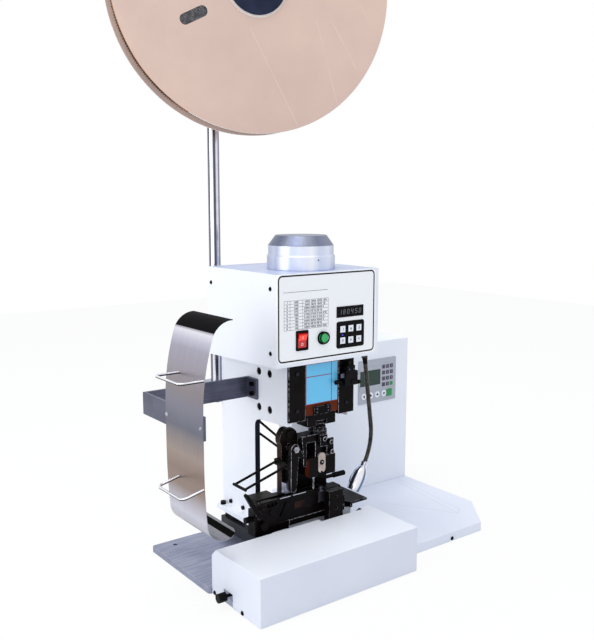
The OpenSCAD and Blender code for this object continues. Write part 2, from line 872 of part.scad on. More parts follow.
module strip_guide() {
    near = -15;
    far = bracket_rear - 4;
    end_x = -187;
    end_z = 185.5;
    slope = 0.28;
    lever_room = 2;
    root = bracket_left - 7;
    root_z = end_z + slope * (root - end_x);
    d = 5;
    color([0.12, 0.12, 0.13]) {
        rod_y(end_x, near - d / 2 - 1, far + d / 2 + 1, end_z, d + 1);
        for (y = [near, far]) rod_xz([end_x, end_z], [root + 2, root_z + 0.5], y, d);
        linear_z(root_z - 6, root_z + 6) polygon([[root, near - d / 2 - 2], [bracket_left - lever_room, near - d / 2 - 2],
            [bracket_left - lever_room, 0], [bracket_left, bracket_front], [bracket_left, bracket_rear], [root, bracket_rear]]);
    }
}

module track_lever() {
    pivot = [-track_l + 6, app_top + 8];
    tip = [-189, 176];
    color([0.08, 0.08, 0.09]) difference() {
        along_y(track_front - 9, track_front - 3) union() {
            hull() {
                translate(pivot) circle(6);
                translate(tip) circle(3.5);
            }
        }
        rod_y(pivot[0], track_front - 10, track_front - 2, pivot[1], track_pin_d + 2 * turn_gap);
    }
}

module throat_cables() {
    rear = [-inner_x + 6, throat_depth + 21];
    front = [-58, bracket_rear];
    color([0.05, 0.05, 0.06]) {
        difference() {
            for (z = [[273, 240], [246, 222]]) {
                a = [rear[0], rear[1], z[0]];
                v = [front[0], front[1], z[1]] - a;
                translate(a) rotate([0, acos(v[2] / norm(v)), atan2(v[1], v[0])]) cylinder(h = norm(v) + 6, d = 5);
            }
            block(front[0] - 20, front[0] + 20, 0, front[1], 200, 260);
        }
        block(-inner_x, rear[0] + 5, rear[1] - 4, rear[1] + 6, 236, 283);
    }
}

module strip_unit() {
    color([0.6, 0.61, 0.63]) {
        block(-34, 74, -152, -44, base_t, 40);
        block(-34, 74, -52, -46, 40, 78);
        block(-34, 74, -150, -144, 40, 78);
        for (x = rods_x) rod_y(x, -144, -17, 58, strip_rod_d);
    }
}

module strip_carriage() {
    color([0.1, 0.1, 0.11]) difference() {
        union() {
            block(-2, 34, -42, -26, 50, 148);
        }
        for (z = [110, 134]) rod_y(16, -43, -34, z, 6);
        for (x = rods_x) rod_y(x, -43, -25, 58, strip_rod_d + 2 * turn_gap);
    }
}

module length_knob() {
    y = -75;
    z = base_t + 8;
    color([0.07, 0.07, 0.08]) difference() {
        union() {
            rod_x(cover_left - 22, cover_left - 6, y, z, 17);
            rod_x(cover_left - 7, -34 - slide_gap, y, z, 6);
        }
        for (k = [0:9]) translate([0, y, z]) rotate([k * 36, 0, 0]) rod_x(cover_left - 23, cover_left - 9, 9.4, 0, 3);
    }
}

module front_cover() {
    bend = 15;
    z0 = 0.5;
    rear_wall_z = 62;
    open_left = -22;
    open_right = 86;
    open_front = -43;
    notch = [[-90, -60], 27];
    color([0.93, 0.94, 0.97]) difference() {
        along_x(cover_left, base_right) polygon([[cover_front, z0], [cover_rear, z0], [cover_rear, cover_h - bend],
            [cover_rear - bend, cover_h], [cover_front, cover_h]]);
        along_x(cover_left + sheet_t, base_right - sheet_t) polygon([[cover_front + sheet_t, z0 - over],
            [cover_rear - sheet_t, z0 - over], [cover_rear - sheet_t, cover_h - bend - sheet_t * 0.4],
            [cover_rear - bend - sheet_t * 0.4, cover_h - sheet_t], [cover_front + sheet_t, cover_h - sheet_t]]);
        block(cover_left + sheet_t, base_right - sheet_t, cover_rear - sheet_t - over, cover_rear + over, z0 - over,
            rear_wall_z);
        block(open_left, open_right, open_front, cover_rear + over, rear_wall_z - 10, cover_h + over);
        block(cover_left - over, cover_left + sheet_t + over, notch[0][0], notch[0][1], z0 - over, notch[1]);
    }
}

module work_table() {
    right = table_left + table_w;
    rear = table_front + table_d;
    cut_x = 80;
    cut_y = 98;
    groove_x = right - 84;
    color([0.93, 0.94, 0.97]) difference() {
        linear_z(0, table_h) polygon([[table_left, table_front], [right - cut_x, table_front],
            [right, table_front + cut_y], [right, rear], [table_left, rear]]);
        linear_z(-over, table_h - sheet_t) polygon([[table_left + sheet_t, table_front + sheet_t],
            [right - cut_x - sheet_t * 0.4, table_front + sheet_t],
            [right - sheet_t, table_front + cut_y + sheet_t * 0.4], [right - sheet_t, rear - sheet_t],
            [table_left + sheet_t, rear - sheet_t]]);
    }
}

module control_box() {
    color([0.93, 0.94, 0.97]) difference() {
        block(box_right - box_w, box_right, box_front, box_front + box_d, table_h, table_h + box_h);
        block(box_right - box_w + sheet_t, box_right - sheet_t, box_front + sheet_t, box_front + box_d - sheet_t,
            table_h - over, table_h + box_h - sheet_t);
        for (k = [0:6]) block(box_right - box_w / 2 - 45, box_right - box_w / 2 + 45, box_front + box_d - sheet_t - over,
            box_front + box_d + over, 80 + 14 * k, 86 + 14 * k);
    }
}

module box_panel() {
    left = box_right - 165;
    w = 123;
    z0 = 233;
    z1 = 342;
    front = box_front - 2;
    color([0.8, 0.81, 0.84]) {
        along_y(front, box_front) translate([left + w / 2, (z0 + z1) / 2]) round_rect(w, z1 - z0, 3);
        block(left + 3, left + 71, front - 0.8, front, 267, 326);
        for (i = [0:2], k = [0:3]) block(left + 77 + 13 * i, left + 86 + 13 * i, front - 1, front, 270.5 + 15 * k,
            279.5 + 15 * k);
        for (i = [0:3]) rod_y(left + 16.5 + 22 * i, front - 1.5, front, 252.5, 12);
        block(left + 99, left + 109, front - 1, front, 248, 258);
    }
}

// Outline of the chute strip in X and Z, with its straight part on x = 0 and z = 0 at the upper bend
module chute_outline(t) {
    top_r = 436;
    top_turn = 17.5;
    lip_r = 42;
    lip_end = 88;
    straight = chute_straight;
    lip = [top_r - (top_r - lip_r) * cos(top_turn), (top_r - lip_r) * sin(top_turn)];
    foot = foot_centre;
    // Each arc: centre, radius, first and last angle, number of steps, first step that is drawn
    arcs = [[foot, foot_r, foot_end, 180 + low_turn, 18, 0], [[low_r, -straight], low_r, 180 + low_turn, 180, 3, 1],
        [[top_r, 0], top_r, 180, 180 - top_turn, 6, 0], [lip, lip_r, 180 - top_turn, lip_end, 12, 1]];
    function side(off) = [for (a = arcs) for (k = [a[5]:a[4]]) let(t = a[2] + (a[3] - a[2]) * k / a[4])
        a[0] + (a[1] + off) * [cos(t), sin(t)]];
    inner = side(-t / 2);
    polygon(concat(side(t / 2), [for (k = [len(inner) - 1:-1:0]) inner[k]]));
}

module chute() {
    corner = 16;
    color([0.6, 0.57, 0.54]) difference() {
        along_y(chute_front, chute_rear) translate([-chute_x, bend_z]) chute_outline(chute_t);
        translate([-chute_x + foot_centre[0], 0, bend_z + foot_centre[1]]) rotate([0, -foot_end, 0])
            along_x(foot_r - 8, foot_r + 8) for (edge = [[chute_front, 1], [chute_rear, -1]]) difference() {
                translate([edge[0] + edge[1] * (corner / 2 - over), -corner / 2 + over])
                    square([corner + 2 * over, corner + 2 * over], center = true);
                translate([edge[0] + edge[1] * corner, -corner]) circle(corner);
                translate([edge[0] + edge[1] * (corner + over), -corner / 2]) square([2 * over, corner + 2 * over], center = true);
            }
    }
}

// A wire loop: two legs along X with round corners at their outer ends
module wire_loop(y0, y1, x_out, x_in, d) {
    r = 10;
    for (y = [y0, y1]) rod_x(x_out + r, x_in, y, 0, d);
    rod_y(x_out, y0 + r, y1 - r, 0, d);
    translate([x_out + r, y0 + r, 0]) rotate([0, 0, 180]) rotate_extrude(angle = 90) translate([r, 0]) circle(d = d);
    translate([x_out + r, y1 - r, 0]) rotate([0, 0, 90]) rotate_extrude(angle = 90) translate([r, 0]) circle(d = d);
}

module chute_loops() {
    out = 43;
    y0 = chute_front + 2;
    y1 = chute_front + 90;
    color([0.8, 0.8, 0.82]) difference() {
        union() {
            translate([-chute_x, 0, bar_z + 83.5]) wire_loop(y0, y1, -out, 9, loop_d);
            translate([-chute_x, 0, bar_z - 106.5]) rotate([0, -13, 0]) wire_loop(y0, y1, -out, 1, loop_d);
        }
        along_y(chute_front - over, chute_rear + over) translate([-chute_x, bend_z]) chute_outline(chute_t);
        along_y(chute_front - over, chute_rear + over) translate([-chute_x + 4, bend_z]) chute_outline(8 - chute_t);
    }
}

module chute_bracket() {
    x = -chute_x + chute_t / 2;
    back = 130;
    foot_front_y = 91;
    front = chute_front + 2;
    color([0.55, 0.56, 0.6]) linear_z(bar_z - bar_w / 2, bar_z + bar_w / 2) polygon([[x, front], [x, back],
        [-frame_x, back], [-frame_x, foot_front_y], [-frame_x - bar_t, foot_front_y], [-frame_x - bar_t, back - bar_t],
        [x + bar_t, back - bar_t], [x + bar_t, front]]);
}

module lamp_mount() {
    color([0.75, 0.76, 0.78]) difference() {
        union() {
            block(frame_x, head_right - 8, -27, 30, neck_top + 8, neck_top + 12);
            block(frame_x, frame_x + 4, -4, 30, neck_top + 8, neck_top + 40);
            rod_z(lamp_x, lamp_y, neck_top, neck_top + 9, 16);
        }
        rod_z(lamp_x, lamp_y, neck_top - over, neck_top + 13, neck_d + 2 * turn_gap);
    }
}

// Moves to the lamp's hinge, with +Z along the lamp toward its mouth
module at_lamp() {
    translate([neck_p2[0], lamp_y, neck_p2[1]]) rotate([0, 180 + lamp_lean, 0]) children();
}

module gooseneck() {
    tongue_l = eye_d / 2 + 1;
    tongue_w = neck_d * 0.6;
    bend = lamp_lean + neck_lean - asin((tongue_l - 0.5) / neck_bend_r);
    color([0.12, 0.13, 0.15]) union() {
        rod_z(lamp_x, lamp_y, neck_top - 2, neck_top + 12, neck_d);
        rod_z(lamp_x, lamp_y, neck_top - 9, neck_top - slide_gap, neck_d + 5);
        rod_xz([lamp_x, neck_top - 4], neck_p1, lamp_y, neck_d);
        translate([neck_p1[0], lamp_y, neck_p1[1]]) sphere(d = neck_d + 1);
        translate([neck_c[0], lamp_y, neck_c[1]]) rotate([90, 0, 0]) rotate([0, 0, neck_lean - bend])
            rotate_extrude(angle = bend, $fn = 96) translate([neck_bend_r, 0]) circle(d = neck_d);
        at_lamp() {
            translate([0, 0, -tongue_l - 2]) cylinder(d = neck_d + 1, h = 3);
            along_y(-eye_t / 2, eye_t / 2) difference() {
                union() {
                    circle(d = eye_d);
                    translate([-tongue_w / 2, -tongue_l]) square([tongue_w, tongue_l]);
                }
                circle(d = lamp_pin_d + 2 * turn_gap);
            }
        }
    }
}

module lamp_head() {
    wall = 2;
    r = lamp_d / 2;
    start = eye_d / 2 + 0.6;
    cheek = eye_t / 2 + slide_gap;
    cheek_t = 2.2;
    color([0.8, 0.82, 0.85]) at_lamp() {
        rotate_extrude($fn = 64) difference() {
            polygon([[0, start], [5.5, start], [r * 0.62, lamp_l * 0.2], [r * 0.84, lamp_l * 0.32], [r * 0.97, lamp_l * 0.48],
                [r, lamp_l * 0.62], [r * 0.98, lamp_l * 0.76], [r * 0.9, lamp_l * 0.9], [r * 0.81, lamp_l], [0, lamp_l]]);
            polygon([[0, lamp_l * 0.7], [r * 0.6, lamp_l * 0.75], [r * 0.81 - wall, lamp_l + over], [0, lamp_l + over]]);
        }
        for (side = [-1, 1]) translate([0, side * (cheek + cheek_t / 2), 0]) along_y(-cheek_t / 2, cheek_t / 2) {
            circle(d = eye_d - 1);
            translate([-eye_d / 2 + 1, 0]) square([eye_d - 2, start + 2]);
        }
        rod_y(0, -cheek - over, cheek + over, 0, lamp_pin_d);
    }
}

module pole() {
    color([0.8, 0.81, 0.83]) difference() {
        rod_z(pole_x, pole_y, clamp_z - 8, reel_z + 15, pole_d);
        rod_z(pole_x, pole_y, clamp_z - 8 - over, reel_z + 13, pole_d - 4);
    }
}

// Moves to the reel's centre, with the reel's axis along local Y and its front toward -Y
module at_reel() {
    translate([reel_x, reel_y, reel_z]) rotate([0, 0, -reel_turn]) children();
}

module reel_holder() {
    clamp = pole_d + 14;
    collar = reel_w / 2 + hub_t + slide_gap;
    collar_t = 8;
    color([0.5, 0.5, 0.52]) {
        difference() {
            block(pole_x - clamp / 2, pole_x + clamp / 2, column_rear, pole_y + clamp / 2, clamp_z, clamp_z + 40);
            rod_z(pole_x, pole_y, clamp_z - over, clamp_z + 40 + over, pole_d);
        }
        difference() {
            at_reel() union() {
                translate([-reel_off_x, -reel_off_y]) block(-clamp / 2, reel_off_x + 14, -clamp / 2, clamp / 2, -18, 18);
                rod_y(0, -collar - collar_t, -reel_off_y - clamp / 2 + over, 0, shaft_d);
                rod_y(0, -collar - collar_t, -collar, 0, shaft_d + 12);
            }
            rod_z(pole_x, pole_y, reel_z - 20, reel_z + 15, pole_d);
        }
    }
}

module reel() {
    r = reel_d / 2;
    core_r = 75;
    hub_r = 62;
    bore = shaft_d + 2 * turn_gap;
    half = reel_w / 2;
    color([0.8, 0.66, 0.52]) at_reel() difference() {
        union() {
            rod_y(0, -half, -half + flange_t, 0, reel_d, $fn = 128);
            rod_y(0, half - flange_t, half, 0, reel_d, $fn = 128);
            rod_y(0, -half, half, 0, 2 * core_r);
            rod_y(0, -half - hub_t, -half + over, 0, 2 * hub_r);
        }
        rod_y(0, -half - 5, half + over, 0, bore);
        along_y(-half - over, -half + flange_t + 0.5) translate([-148, -78]) rotate(27) round_rect(52, 18, 8.9);
    }
}

module terminal_coil() {
    gap = 0.4;
    half = reel_w / 2 - flange_t - gap;
    color([0.2, 0.17, 0.15]) at_reel() difference() {
        rod_y(0, -half, half, 0, reel_d - 36);
        rod_y(0, -half - over, half + over, 0, 150 + 2 * gap);
    }
}

base_plate();
riser();
foot_pads();
frame_left();
frame_right();
frame_spacers();
frame_head();
frame_bolts();
bed_plate();
head_cover();
cover_brackets();
cover_screws();
control_panel();
panel_bezels();
power_switch();
start_button();
counter_display();
panel_keypad();
gearbox();
motor();
motor_cap();
crank();
gib_left();
gib_right();
gib_screws();
ram();
ram_plate();
ram_adapter();
position_sensor();
app_base();
app_frame();
app_ram();
crimper();
dial_upper();
dial_lower();
anvil();
feed_bracket();
feed_lever();
feed_finger();
terminal_track();
strip_guide();
track_lever();
throat_cables();
strip_unit();
strip_carriage();
length_knob();
front_cover();
work_table();
control_box();
box_panel();
chute();
chute_loops();
chute_bracket();
lamp_mount();
gooseneck();
lamp_head();
pole();
reel_holder();
reel();
terminal_coil();
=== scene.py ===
import json
from math import atan2, cos, degrees, pi, radians, sin, sqrt, tau
import bmesh
import bpy
from mathutils import Matrix, Vector

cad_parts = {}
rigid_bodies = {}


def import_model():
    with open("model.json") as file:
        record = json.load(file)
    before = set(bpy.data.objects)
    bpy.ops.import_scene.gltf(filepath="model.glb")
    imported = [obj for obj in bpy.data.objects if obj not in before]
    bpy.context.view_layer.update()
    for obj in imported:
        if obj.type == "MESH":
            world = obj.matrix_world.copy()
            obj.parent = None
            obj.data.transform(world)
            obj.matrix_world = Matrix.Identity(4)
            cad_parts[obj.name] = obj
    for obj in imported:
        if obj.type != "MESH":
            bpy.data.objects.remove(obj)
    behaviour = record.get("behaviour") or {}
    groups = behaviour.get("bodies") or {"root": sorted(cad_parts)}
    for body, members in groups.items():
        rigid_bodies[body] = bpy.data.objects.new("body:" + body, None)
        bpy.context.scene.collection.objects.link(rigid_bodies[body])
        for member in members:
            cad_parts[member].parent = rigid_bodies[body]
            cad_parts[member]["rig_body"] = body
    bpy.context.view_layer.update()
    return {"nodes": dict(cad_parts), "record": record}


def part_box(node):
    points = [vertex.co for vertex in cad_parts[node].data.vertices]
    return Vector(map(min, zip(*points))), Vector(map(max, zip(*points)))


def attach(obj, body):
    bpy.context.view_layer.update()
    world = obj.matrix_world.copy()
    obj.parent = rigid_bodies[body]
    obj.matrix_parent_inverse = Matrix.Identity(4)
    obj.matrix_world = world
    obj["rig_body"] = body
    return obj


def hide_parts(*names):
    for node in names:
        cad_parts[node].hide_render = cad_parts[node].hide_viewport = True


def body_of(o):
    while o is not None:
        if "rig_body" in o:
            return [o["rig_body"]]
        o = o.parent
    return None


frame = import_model()
nodes = frame["nodes"]
record = frame["record"]
slotOf = {s["node"]: s["material_slot"] for s in record["subparts"]}
scene = bpy.context.scene
print("frame loaded:", len(nodes), "nodes")

# Camera from the photograph, fitted on the box edges
cameraSet = {"place": (-0.9885, -1.2585, 0.7327), "down": 81.5, "turn": -36.65, "lens": 49.1}
cameraData = bpy.data.cameras.new("studioCamera")
cameraData.sensor_fit = "HORIZONTAL"
cameraData.sensor_width = 36
cameraData.lens = cameraSet["lens"]
cameraData.clip_start = 0.05
camera = bpy.data.objects.new("studioCamera", cameraData)
camera.location = cameraSet["place"]
camera.rotation_euler = (radians(cameraSet["down"]), 0, radians(cameraSet["turn"]))
scene.collection.objects.link(camera)
scene.camera = camera
scene.view_settings.view_transform = "Standard"


def shade(r, g, b):  # a colour as the screen shows it, 0 to 255
    def one(c):
        c = c / 255
        return c / 12.92 if c <= 0.04045 else ((c + 0.055) / 1.055) ** 2.4
    return (one(r), one(g), one(b), 1)


def feed(tree, socket, value):  # links a socket, or sets a plain value
    if isinstance(value, bpy.types.NodeSocket):
        tree.links.new(value, socket)
    else:
        socket.default_value = value


# Named inputs of a group or tree; the kind of each follows from its first value
def addInputs(tree, inputs):
    kinds = {float: "NodeSocketFloat", int: "NodeSocketInt", tuple: "NodeSocketVector"}
    for label, value in inputs.items():
        socket = tree.interface.new_socket(name=label, in_out="INPUT", socket_type=kinds[type(value)])
        socket.default_value = value


# Shader groups that several finishes share
def shaderGroup(name, inputs, output):
    tree = bpy.data.node_groups.new(name, "ShaderNodeTree")
    addInputs(tree, inputs)
    tree.interface.new_socket(name=output, in_out="OUTPUT", socket_type="NodeSocketFloat")
    return tree, tree.nodes.new("NodeGroupInput"), tree.nodes.new("NodeGroupOutput")


def mathNode(tree, how, first, second):
    node = tree.nodes.new("ShaderNodeMath")
    node.operation = how
    feed(tree, node.inputs[0], first)
    feed(tree, node.inputs[1], second)
    return node.outputs[0]


def noiseNode(tree, vector, scale, detail, rough):
    node = tree.nodes.new("ShaderNodeTexNoise")
    for label, value in (("Vector", vector), ("Scale", scale), ("Detail", detail), ("Roughness", rough)):
        feed(tree, node.inputs[label], value)
    return node.outputs["Fac"]


def spread(tree, value, low, high, toLow=0, toHigh=1):
    node = tree.nodes.new("ShaderNodeMapRange")
    for label, limit in (("From Min", low), ("From Max", high), ("To Min", toLow), ("To Max", toHigh)):
        node.inputs[label].default_value = limit
    tree.links.new(value, node.inputs["Value"])
    return node.outputs["Result"]


# Soft cloudy patches, as in handled paint and oxide
patches, gIn, gOut = shaderGroup("cloudPatches", {"Vector": (0, 0, 0), "Scale": 12.0}, "Mask")
cloudy = noiseNode(patches, gIn.outputs["Vector"], gIn.outputs["Scale"], 4, 0.6)
patches.links.new(spread(patches, cloudy, 0.32, 0.7), gOut.inputs["Mask"])

# Fine lines that run one way, as the brush or the grinder left them
brushed, gIn, gOut = shaderGroup("brushLines", {"Vector": (0, 0, 0), "Stretch": (900, 12, 900)}, "Mask")
scaled = brushed.nodes.new("ShaderNodeVectorMath")
scaled.operation = "MULTIPLY"
brushed.links.new(gIn.outputs["Vector"], scaled.inputs[0])
brushed.links.new(gIn.outputs["Stretch"], scaled.inputs[1])
lines = noiseNode(brushed, scaled.outputs[0], 1.0, 5, 0.62)
brushed.links.new(spread(brushed, lines, 0.3, 0.7), gOut.inputs["Mask"])

# Worn edges and painted edge glints: the bevel faces carry the attribute edgeMask, broken up by a noise
edgeRubGlint, gIn, gOut = shaderGroup("edgeWear", {"Vector": (0, 0, 0), "Scale": 260.0, "Amount": 0.5}, "Mask")
edgeFaces = edgeRubGlint.nodes.new("ShaderNodeAttribute")
edgeFaces.attribute_name = "edgeMask"
broken = spread(edgeRubGlint, noiseNode(edgeRubGlint, gIn.outputs["Vector"], gIn.outputs["Scale"], 4, 0.65), 0.42, 0.62)
strong = mathNode(edgeRubGlint, "MULTIPLY", broken, gIn.outputs["Amount"])
edgeRubGlint.links.new(mathNode(edgeRubGlint, "MULTIPLY", edgeFaces.outputs["Fac"], strong), gOut.inputs["Mask"])

# Height of a cast, sprayed or moulded skin
skin, gIn, gOut = shaderGroup("skinGrain", {"Vector": (0, 0, 0), "Scale": 900.0}, "Height")
skin.links.new(noiseNode(skin, gIn.outputs["Vector"], gIn.outputs["Scale"], 2, 0.5), gOut.inputs["Height"])
print("shader groups built")


def placeGroup(tree, group, vector, values):  # a shared group with a finish's own values
    node = tree.nodes.new("ShaderNodeGroup")
    node.node_tree = group
    tree.links.new(vector, node.inputs["Vector"])
    for label, value in values.items():
        node.inputs[label].default_value = value
    return node.outputs[0]


def mixNode(tree, share, one, two, how="MIX"):
    node = tree.nodes.new("ShaderNodeMix")
    node.data_type = "RGBA"
    node.blend_type = how
    for k, value in ((0, share), (6, one), (7, two)):  # sockets 6, 7 and output 2 are the colour ones
        feed(tree, node.inputs[k], value)
    return node.outputs[2]


# A ramp of colours along a mask, from stops of place and colour
def rampNode(tree, value, stops):
    ramp = tree.nodes.new("ShaderNodeValToRGB")
    ramp.color_ramp.interpolation = "LINEAR"
    points = ramp.color_ramp.elements
    while len(points) < len(stops):
        points.new(0.5)
    for point, (place, colour) in zip(points, stops):
        point.position = place
        point.color = shade(*colour)
    tree.links.new(value, ramp.inputs["Fac"])
    return ramp.outputs["Color"]


# Where a point lies on the painted reflection and shade bands: round an axis, between two heights, or by how far its
# face looks up
def paintedBandPlace(tree, place, look):
    if look["around"]:
        centre, turn = look["around"]
        local = tree.nodes.new("ShaderNodeMapping")
        local.vector_type = "TEXTURE"
        local.inputs["Location"].default_value = [c / 1000 for c in centre]
        local.inputs["Rotation"].default_value = [radians(a) for a in turn]
        tree.links.new(place, local.inputs["Vector"])
        sweep = tree.nodes.new("ShaderNodeTexGradient")
        sweep.gradient_type = "RADIAL"
        tree.links.new(local.outputs["Vector"], sweep.inputs["Vector"])
        return sweep.outputs["Fac"]
    apart = tree.nodes.new("ShaderNodeSeparateXYZ")
    if look["span"]:
        tree.links.new(place, apart.inputs[0])
        low, high = look["span"]
        return spread(tree, apart.outputs["Z"], low / 1000, high / 1000)
    tree.links.new(tree.nodes.new("ShaderNodeTexCoord").outputs["Normal"], apart.inputs[0])
    return spread(tree, apart.outputs["Z"], -1, 1)


bumpDepth, coatRough = 0.0003, 0.08  # the same in every finish


def finish(name, look):
    material = bpy.data.materials.new(name)
    material.use_nodes = True
    tree = material.node_tree
    shader = tree.nodes["Principled BSDF"]
    place = tree.nodes.new("ShaderNodeTexCoord").outputs["Object"]
    mask = placeGroup(tree, patches, place, {"Scale": look["cloud"]})
    if look["brush"]:
        strokes = placeGroup(tree, brushed, place, {"Stretch": look["brush"]})
        both = mathNode(tree, "MULTIPLY", mask, 1 - look["stroke"])
        mask = mathNode(tree, "ADD", both, mathNode(tree, "MULTIPLY", strokes, look["stroke"]))
    colour = mixNode(tree, mask, shade(*look["colour"]), shade(*look["second"]))
    # Painted light: a ramp of reflections and shade, by place or face direction, multiplies the colour
    if look["bands"]:
        paintedLightTint = rampNode(tree, paintedBandPlace(tree, place, look), look["bands"])
        colour = mixNode(tree, 1, paintedLightTint, colour, "MULTIPLY")
    # Edge colour on the bevel faces: wear on paint and card, a painted highlight on oxide and steel
    if look["edge"]:
        rubGlintShare = placeGroup(tree, edgeRubGlint, place, {"Amount": look["wear"], "Scale": look["wearScale"]})
        colour = mixNode(tree, rubGlintShare, colour, shade(*look["edge"]))
    height = mask if look["brush"] else placeGroup(tree, skin, place, {"Scale": look["grain"]})
    bump = tree.nodes.new("ShaderNodeBump")
    for label, value in (("Strength", look["bump"]), ("Distance", bumpDepth), ("Height", height)):
        feed(tree, bump.inputs[label], value)
    for label, value in (("Base Color", colour), ("Roughness", spread(tree, mask, 0, 1, *look["rough"])),
                         ("Metallic", look["metal"]), ("Coat Weight", look["coat"]), ("Coat Roughness", coatRough),
                         ("Specular IOR Level", look["gloss"]), ("Normal", bump.outputs["Normal"])):
        feed(tree, shader.inputs[label], value)
    if look["glow"]:
        shader.inputs["Emission Color"].default_value = shade(*look["glow"])
        shader.inputs["Emission Strength"].default_value = look["glowPower"]
    return material


# What a finish has unless its row says otherwise
plainLook = {"metal": 0, "gloss": 0.5, "coat": 0, "cloud": 9, "grain": 900, "brush": None, "stroke": 0.6,
             "edge": None, "wear": 0.7, "wearScale": 260, "bands": None, "span": None, "around": None, "glow": None,
             "glowPower": 1}


def tone(colour, second, rough, bump, **more):  # the two colours that clouds or strokes mix, roughness, relief
    return {**plainLook, "colour": colour, "second": second, "rough": rough, "bump": bump, **more}


# Painted reflections and shade along a piece, as stops of place and colour
# The chute's light and dark along its height: painted reflections
chutePaintedReflections = [(0, (156, 158, 168)), (0.1, (214, 216, 226)), (0.16, (190, 186, 194)), (0.22, (156, 138, 126)),
              (0.3, (150, 130, 118)), (0.38, (168, 152, 142)), (0.46, (140, 134, 136)), (0.5, (112, 114, 128)),
              (0.6, (136, 136, 150)), (0.68, (150, 142, 144)), (0.76, (166, 160, 168)), (0.86, (176, 174, 188)),
              (0.9, (206, 206, 220)), (0.935, (240, 240, 248)), (0.95, (60, 60, 68)), (1, (30, 30, 36))]
polePaintedReflections = [(0, (120, 122, 140)), (0.05, (110, 112, 130)), (0.065, (240, 240, 246)), (0.14, (240, 240, 244)),
             (0.16, (86, 88, 104)), (0.21, (96, 98, 114)), (0.235, (238, 238, 244)), (0.285, (228, 228, 236)),
             (0.31, (112, 114, 130)), (0.46, (190, 190, 198)), (0.6, (226, 227, 230)), (0.7, (110, 112, 126)),
             (0.8, (206, 206, 214)), (0.93, (150, 152, 168)), (1, (120, 122, 140))]
lampPaintedReflections = [(0, (236, 238, 244)), (0.04, (14, 14, 20)), (0.09, (24, 24, 32)), (0.11, (240, 242, 248)),
             (0.2, (226, 232, 244)), (0.22, (150, 190, 232)), (0.25, (20, 22, 34)), (0.3, (238, 240, 248)),
             (0.42, (250, 250, 254)), (0.45, (30, 30, 40)), (0.52, (200, 208, 226)), (0.64, (140, 184, 230)),
             (0.67, (16, 16, 24)), (0.72, (244, 246, 250)), (0.86, (250, 250, 254)), (0.9, (24, 24, 32)),
             (1, (236, 238, 244))]
capPaintedReflections = [(0, (206, 212, 228)), (0.02, (190, 197, 218)), (0.07, (240, 244, 254)), (0.1, (206, 214, 236)),
            (0.15, (234, 238, 250)), (0.2, (250, 252, 255)), (0.24, (214, 221, 240)), (0.3, (232, 237, 250)),
            (0.37, (176, 184, 208)), (0.42, (150, 160, 190)), (0.5, (206, 212, 228)), (0.7, (236, 240, 250)),
            (0.9, (176, 184, 206)), (1, (206, 212, 228))]
wirePaintedHighlights = [(0, (150, 122, 102)), (0.2, (50, 42, 40)), (0.36, (16, 16, 20)), (0.5, (22, 22, 28)),
             (0.6, (236, 236, 242)), (0.8, (255, 255, 255)), (1, (226, 226, 232))]
